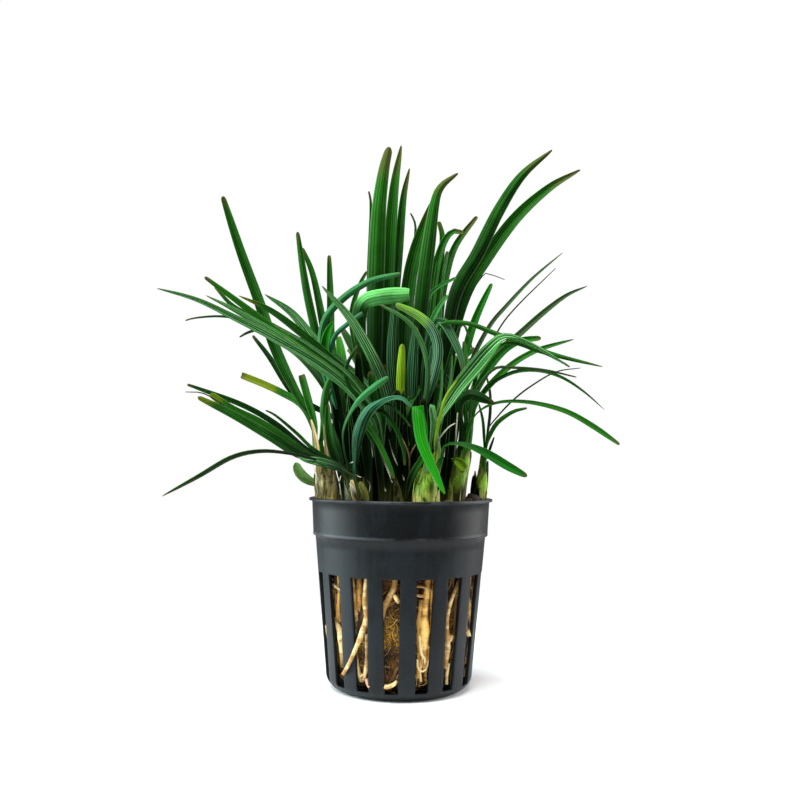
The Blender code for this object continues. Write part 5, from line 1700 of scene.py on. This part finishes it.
# %% The tree that lays crumbs
def crumb_tree():
    """The tree that lays one uneven crumb on every point."""
    inputs = new_tree("soil_crumbs", {"Crumb radius": 1.0 * MM, "Roughness": 0.55, "Seed": 2})
    sockets = {"Radius": inputs.out("Crumb radius"), "Subdivisions": 2}
    ball = inputs.node("GeometryNodeMeshIcoSphere", {}, sockets)
    place = inputs.node("GeometryNodeInputPosition")
    dent = (place + 3.0 * MM).noise(900.0, 2.0) - 0.5
    lump = move(ball, Offset=place * (dent * inputs.out("Roughness") * 2))
    turn = random_value(inputs, (0.0, 0.0, 0.0), (6.28, 6.28, 6.28), inputs.out("Seed"))
    copies = inputs.node("GeometryNodeInstanceOnPoints", {}, {
        "Points": inputs.out("Geometry"), "Instance": lump, "Scale": named(inputs, "size"),
        "Rotation": inputs.node("FunctionNodeEulerToRotation", {}, {0: turn}),
    })
    return end_tree(inputs, copies)


def soil_finish():
    """Nearly black damp crumbs with brown patches."""
    made, net, place = new_finish("soil")
    patches = place.noise(500.0, 4.0, 0.65)
    colour = patches.between(0.45, 0.7).mix(rgb(0.005, 0.004, 0.003), rgb(0.075, 0.042, 0.016))
    bump = place.noise(1800.0, 4.0).bump(0.7, 0.25)
    end_finish(net, {"Base Color": colour, "Roughness": 0.8, "Normal": bump})
    return made


# %% Lay the crumbs
CRUMB_COUNT, CRUMB_REACH = 420, 22.2
# The lumps that stand out, as (x, y, z, size) in millimetres
BIG_CRUMBS = (
    (18.6, -4, 50.1, 1.3), (20.4, -2, 50.8, 1.5), (22, 0, 50.4, 1.2), (19.6, 2, 51.3, 1.2),
    (21.6, 4, 51.5, 1.1), (22.6, 2.6, 50.6, 1.1), (20.8, -6, 49.9, 1.1), (-4.5, -19, 49.8, 1.2),
    (12, -15, 49.9, 1.2), (-17, -13, 49.7, 1.1), (0.5, -17.6, 49.6, 1.3),
)


def crumb_rows():
    """Where the crumbs lie and how large each one is."""
    rows = [{"centre": Vector((x, y, z)) * MM, "size": size} for x, y, z, size in BIG_CRUMBS]
    while len(rows) < CRUMB_COUNT:
        angle, out = chance.uniform(0, 2 * math.pi), CRUMB_REACH * math.sqrt(chance.random())
        height = 48.5 + chance.uniform(-0.3, 0.8) - max(0, out - 20) * 0.35
        place = Vector((out * math.cos(angle), out * math.sin(angle), height)) * MM
        rows.append({"centre": place, "size": chance.choice((0.35, 0.5, 0.5, 0.7, 0.9))})
    return rows


crumbs = grow_strands("soil_crumbs", [[row] for row in crumb_rows()], crumb_tree(), finish=soil_finish())
hand_in(crumbs, "growing_wool")
print("crumbs:", len(crumbs.data.polygons), "faces")

# %% [markdown]
# ## Net pot
#
# The pot is one thin moulding: a flat lip, a plain collar, and below it a tapering body with sixteen
# slots that narrow downwards, over a base with eight drain slots. Cutting the slots with Boolean
# bars leaves long thin faces on a round wall. Here one eighth of the pot is built as a clean
# grid, whose columns follow the edges of the slots. Its edges are bevelled, and a tree repeats
# it round the axis and welds the eight together.

# %% The pot's stations, from the lip to the middle of the base
SLOT_TOP_Z = 31.4
SLOT_LOW_Z = 2.4
SLOT_TOP_WIDTH = 4.65
SLOT_LOW_WIDTH = 3.3
SLOT_FIRST_DEG = -5.6
FOOT_RADIUS = 15.6
FOOT_ROUND = 4.4
WALL = 1.0
DRAIN_IN, DRAIN_OUT, DRAIN_WIDTH = 7.0, 13.0, 2.4


def foot_station(outer_deg, inner_deg):
    """A station on the rounded foot, at these angles below level on its two faces."""
    a, b = math.radians(outer_deg), math.radians(inner_deg)
    inner = FOOT_ROUND - WALL
    return (FOOT_RADIUS + FOOT_ROUND * math.cos(a), FOOT_ROUND * (1 - math.sin(a)),
            FOOT_RADIUS + inner * math.cos(b), FOOT_ROUND - inner * math.sin(b))


def wall_station(z):
    """A station on the body's straight wall."""
    outer = body_radius(z * MM) / MM
    return (outer, z, outer - WALL, z)


# Each station is (radius, height) of the outer face and then of the inner one, in millimetres
LIP_STATIONS = [
    (25.02, 51.1, 23.62, 51.1), (25.2, 51.04, 23.5, 51.02), (25.3, 50.86, 23.45, 50.8),
    (25.3, 50.6, 23.44, 50.6), (25.2, 50.44, 23.43, 50.44), (24.9, 50.38, 23.42, 50.38),
    (24.55, 50.34, 23.41, 50.3), (24.42, 50.1, 23.4, 50.1), (24.3, 48, 23.3, 48), (24.15, 45.4, 23.15, 45.4),
    (24, 42.4, 23, 42.6), (23.99, 41.95, 22.96, 41.9), (24.03, 41.7, 22.92, 41.5), (24.03, 41.4, 22.82, 41.2),
    (23.94, 41.15, 22.66, 40.9), (23.6, 41.02, 22.45, 40.6), (23.34, 40.9, 22.33, 40.4),
]
BODY_STATIONS = [wall_station(z) for z in (38, 35, 32.6, 31.8)]
SLOT_STATIONS = [wall_station(z) for z in (SLOT_TOP_Z, 31, 28, 24.5, 21, 17.5, 14, 10.5, 7.5, 5.4)]
SLOT_STATIONS += [foot_station(*angles) for angles in ((0, 0), (14, 18), (23, 31), (27.04, 36.03))]
FOOT_STATIONS = [foot_station(*angles) for angles in ((32, 41), (50, 55), (70, 72), (90, 90))]
FOOT_STATIONS.append((14.2, 0, 14.2, WALL))
DRAIN_STATIONS = [(r, 0, r, WALL) for r in (DRAIN_OUT, 12.6, 10.8, 9.2, 7.4, DRAIN_IN)]
MIDDLE_STATIONS = [(r, 0, r, WALL) for r in (6.4, 4, 2)]
ABOVE_SLOTS = LIP_STATIONS + BODY_STATIONS
STATIONS = ABOVE_SLOTS + SLOT_STATIONS + FOOT_STATIONS + DRAIN_STATIONS + MIDDLE_STATIONS
SLOT_ROWS = range(len(ABOVE_SLOTS), len(ABOVE_SLOTS + SLOT_STATIONS) - 1)
DRAIN_END = len(STATIONS) - len(MIDDLE_STATIONS)
DRAIN_ROWS = range(DRAIN_END - len(DRAIN_STATIONS), DRAIN_END - 1)
print(len(STATIONS), "stations")


# %% The columns of one eighth of the pot
# In degrees from the middle of the eighth
SLOT_MIDDLE, EIGHTH_EDGE = 11.25, 22.5
# How many columns cross half a rib, a slot, the rib between, a slot and half a rib
COLUMN_PARTS = (3, 4, 6, 4, 3)
COLUMNS = sum(COLUMN_PARTS)
SLOT_COLUMNS = (*range(3, 7), *range(13, 17))
# In the base the drain slot takes the columns of that rib
DRAIN_COLUMNS = range(7, 13)
# Nearer the axis than this the slots no longer widen in degrees
NARROW_RADIUS = 18


def column_angles(radius, z):
    """The angles in degrees of the columns in one eighth, which follow the edges of the openings."""
    high = min(1.0, max(0.0, (z - SLOT_LOW_Z) / (SLOT_TOP_Z - SLOT_LOW_Z)))
    width = SLOT_LOW_WIDTH + (SLOT_TOP_WIDTH - SLOT_LOW_WIDTH) * high
    half = math.degrees(math.asin(width / 2 / max(radius, NARROW_RADIUS)))
    rib = SLOT_MIDDLE - half
    if radius < FOOT_RADIUS:
        drain = math.degrees(math.asin(DRAIN_WIDTH / 2 / max(radius, DRAIN_IN)))
        rib += (drain - rib) * min(1.0, (FOOT_RADIUS - radius) / (FOOT_RADIUS - DRAIN_OUT))
    corners = (-EIGHTH_EDGE, -SLOT_MIDDLE - half, -rib, rib, SLOT_MIDDLE + half, EIGHTH_EDGE)
    angles = [-EIGHTH_EDGE]
    for start, end, pieces in zip(corners, corners[1:], COLUMN_PARTS):
        angles += [start + (end - start) * k / pieces for k in range(1, pieces + 1)]
    return angles


def is_open(row, column):
    """Whether the cell below this station and right of this column is an opening."""
    return (row in SLOT_ROWS and column in SLOT_COLUMNS) or (row in DRAIN_ROWS and column in DRAIN_COLUMNS)


print(COLUMNS, "columns, of which", len(SLOT_COLUMNS), "cross the slots")


# %% One eighth of the pot
def pot_eighth():
    """One eighth of the pot's two faces, joined round the lip and round every opening."""
    shape = bmesh.new()
    grids = []
    for face in (0, 1):
        grid = []
        for station in STATIONS:
            radius, z = station[2 * face:2 * face + 2]
            grid.append([
                shape.verts.new((radius * math.sin(a) * MM, -radius * math.cos(a) * MM, z * MM))
                for a in map(math.radians, column_angles(radius, z))
            ])
        grids.append(grid)
    outer, inner = grids
    poles = [shape.verts.new((0, 0, z * MM)) for z in (0, WALL)]
    rims = set()
    for row in range(len(STATIONS) - 1):
        for column in range(COLUMNS):
            if is_open(row, column):
                continue
            a, b = (row, column), (row, column + 1)
            c, d = (row + 1, column + 1), (row + 1, column)
            for grid, corners in ((outer, (a, b, c, d)), (inner, (d, c, b, a))):
                shape.faces.new([grid[r][k] for r, k in corners])
            sides = (
                (a, b, row - 1, column), (d, c, row + 1, column),
                (a, d, row, column - 1), (b, c, row, column + 1),
            )
            for start, end, near_row, near_column in sides:
                if 0 <= near_column < COLUMNS and is_open(near_row, near_column):
                    rims.add((start, end))
    rims |= {((0, k), (0, k + 1)) for k in range(COLUMNS)}
    for start, end in rims:
        shape.faces.new([outer[start[0]][start[1]], outer[end[0]][end[1]],
                         inner[end[0]][end[1]], inner[start[0]][start[1]]])
    for grid, pole in zip(grids, poles):
        for column in range(COLUMNS):
            shape.faces.new((grid[-1][column], grid[-1][column + 1], pole))
    weight = shape.edges.layers.float.new("bevel_weight_edge")
    for start, end in rims:
        if start[0] == 0 and end[0] == 0:
            continue
        for grid in grids:
            edge = shape.edges.get((grid[start[0]][start[1]], grid[end[0]][end[1]]))
            edge[weight] = 1.0
    bmesh.ops.recalc_face_normals(shape, faces=shape.faces)
    return as_mesh("pot_eighth", shape)


# %% The tree that repeats the eighth
def ring_tree():
    """The tree that repeats a piece round the axis and welds the copies."""
    inputs = new_tree("round_the_axis", {"Copies": 8, "Weld distance": 0.002 * MM})
    count = inputs.out("Copies")
    index = inputs.node("GeometryNodeInputIndex")
    line = inputs.node("GeometryNodeMeshLine", {}, {"Count": count, "Offset": (0.0, 0.0, 0.0)})
    turn = inputs.vector(0.0, 0.0, index / count * (2 * math.pi))
    copies = inputs.node("GeometryNodeInstanceOnPoints", {}, {
        "Points": line, "Instance": inputs.out("Geometry"),
        "Rotation": inputs.node("FunctionNodeEulerToRotation", {}, {0: turn}),
    })
    real = inputs.node("GeometryNodeRealizeInstances", {}, {"Geometry": copies})
    welded = inputs.node(
        "GeometryNodeMergeByDistance", {}, {"Geometry": real, "Distance": inputs.out("Weld distance")}
    )
    return end_tree(inputs, welded)


# %% The finish of the pot
def pot_finish():
    """Blue-black satin plastic with fine mould grain, traces of dried water and painted edge highlights."""
    made, net, place = new_finish("pot_plastic")
    height = place.part("Z")
    clouds = place.noise(90.0, 4.0, 0.6)
    streaks = net.vector(place.part("X"), place.part("Y"), height * 0.12).noise(420.0, 3.0, 0.6)
    dust = place.noise(1500.0, 4.0, 0.75)
    colour = clouds.between(0.35, 0.65).mix(rgb(0.0005, 0.0009, 0.0012), rgb(0.0015, 0.003, 0.0038))
    low_down = 1 - height.between(0.036, 0.043)
    film = (streaks * 0.6 + clouds * 0.5 + low_down * 0.16).between(0.5, 0.8)
    colour = (film * 0.2).mix(colour, rgb(0.015, 0.03, 0.04))
    colour = (dust.between(0.56, 0.76) * 0.1).mix(colour, rgb(0.1, 0.15, 0.18))
    # Painted highlights: lighter lines on the bead under the collar and along the lip's edge.
    bead = height.between(0.0411, 0.0414) * (1 - height.between(0.0417, 0.0421))
    painted_edge_highlight = (bead + height.between(0.0503, 0.0506)) * clouds.between(0.35, 0.6)
    colour = (painted_edge_highlight * 0.3).mix(colour, rgb(0.12, 0.14, 0.15))
    end_finish(net, {
        "Base Color": colour, "Roughness": 0.42 + film * 0.1 + (dust - 0.5) * 0.3,
        "Normal": (dust + clouds).bump(0.4, 0.08), "Specular IOR Level": 0.22,
    })
    return made


# %% Make the pot
eighth = in_scene("pot_eighth", pot_eighth())
bevel = eighth.modifiers.new("rounded_edges", "BEVEL")
bevel.limit_method = "WEIGHT"
bevel.width = 0.16 * MM
bevel.segments = 2
keep_result(eighth)
net_pot = grow("net_pot", eighth.data, ring_tree(), finish=pot_finish())
bpy.data.objects.remove(eighth)
net_pot.data.transform(Matrix.Rotation(math.radians(SLOT_FIRST_DEG + SLOT_MIDDLE), 4, "Z"))
hand_in(net_pot, "pot", "pot")
print("pot:", len(net_pot.data.polygons), "faces")

# %% [markdown]
# ## Floor, light and camera
#
# The plant stands on a plain pale floor that fades out into a white surround. Light that came
# evenly from all sides would flatten the leaves, so the surround itself gives little light, and
# most comes from soft lamps: a wide one overhead, and one at each side that draws bright edges on
# the pot and leaves the middle of the tuft dark. The camera stands at the eye that the leaves were
# drawn from, and looks up a little.

# %% The floor
floor_mesh = bpy.data.meshes.new("floor")
REACH = 3.0
floor_mesh.from_pydata(
    [(-REACH, -REACH, 0), (REACH, -REACH, 0), (REACH, REACH, 0), (-REACH, REACH, 0)], [], [(0, 1, 2, 3)]
)
floor = in_scene("floor", floor_mesh)
pale, net, place = new_finish("pale_floor")
from_pot = net.node("ShaderNodeVectorMath", {"operation": "LENGTH"}, {0: place}, "Value")
sheet = net.node("ShaderNodeBsdfPrincipled", {}, {"Base Color": rgb(0.93, 0.93, 0.93), "Roughness": 0.9})
nothing = net.node("ShaderNodeBsdfTransparent")
faded = net.node("ShaderNodeMixShader", {}, {0: from_pot.between(0.045, 0.16), 1: sheet, 2: nothing})
net.node("ShaderNodeOutputMaterial", {}, {"Surface": faded})
floor_mesh.materials.append(pale)
print("the floor reaches", REACH, "m each way")


# %% The light
PLANT_MIDDLE = Vector((0, 0, 0.07))


def soft_lamp(name, place, size, watts, colour=(1.0, 1.0, 1.0)):
    """A square soft lamp that looks at the plant."""
    light = bpy.data.lights.new(name, "AREA")
    light.size, light.energy, light.color = size, watts, colour
    lamp = in_scene(name, light)
    lamp.visible_camera = False
    lamp.location = place
    lamp.rotation_euler = (PLANT_MIDDLE - Vector(place)).to_track_quat("-Z", "Y").to_euler()


soft_lamp("top_lamp", (-0.15, -0.3, 0.85), 0.7, 14.5)
soft_lamp("left_lamp", (-1.0, 0.05, 0.3), 1.0, 27.0, (0.82, 0.96, 1.0))
soft_lamp("right_lamp", (1.0, 0.25, 0.3), 0.8, 13.0)
world = bpy.data.worlds.new("white_surround")
world.use_nodes = True
world.node_tree.nodes.clear()
surround = Net(world.node_tree)
white = {"Color": rgb(1.0, 1.0, 1.0)}
surround.node("ShaderNodeOutputWorld", {}, {"Surface": surround.node("ShaderNodeMixShader", {}, {
    0: surround.node("ShaderNodeLightPath", {}, {}, "Is Camera Ray"),
    1: surround.node("ShaderNodeBackground", {}, white | {"Strength": 0.25}),
    2: surround.node("ShaderNodeBackground", {}, white | {"Strength": 1.0}),
})})
bpy.context.scene.world = world
bpy.context.scene.view_settings.view_transform = "Standard"
print("lamps:", [light.name for light in bpy.data.lights])

# %% The camera
LOOK_UP_DEG, ROLL_DEG, LENS = 3.8, 0.6, 41.04
up_angle, roll = math.radians(LOOK_UP_DEG), math.radians(ROLL_DEG)
forward = Vector((0, math.cos(up_angle), math.sin(up_angle)))
level_right = Vector((1, 0, 0))
level_up = level_right.cross(forward)
right = level_right * math.cos(roll) + level_up * math.sin(roll)
up = level_up * math.cos(roll) - level_right * math.sin(roll)
camera = in_scene("camera", bpy.data.cameras.new("camera"))
camera.data.lens = LENS
camera.data.clip_start = 0.01
camera.matrix_world = Matrix.Translation(FRONT_EYE) @ Matrix((right, up, -forward)).transposed().to_4x4()
bpy.context.scene.camera = camera
print("the camera looks up by", LOOK_UP_DEG, "degrees")

# %% [markdown]
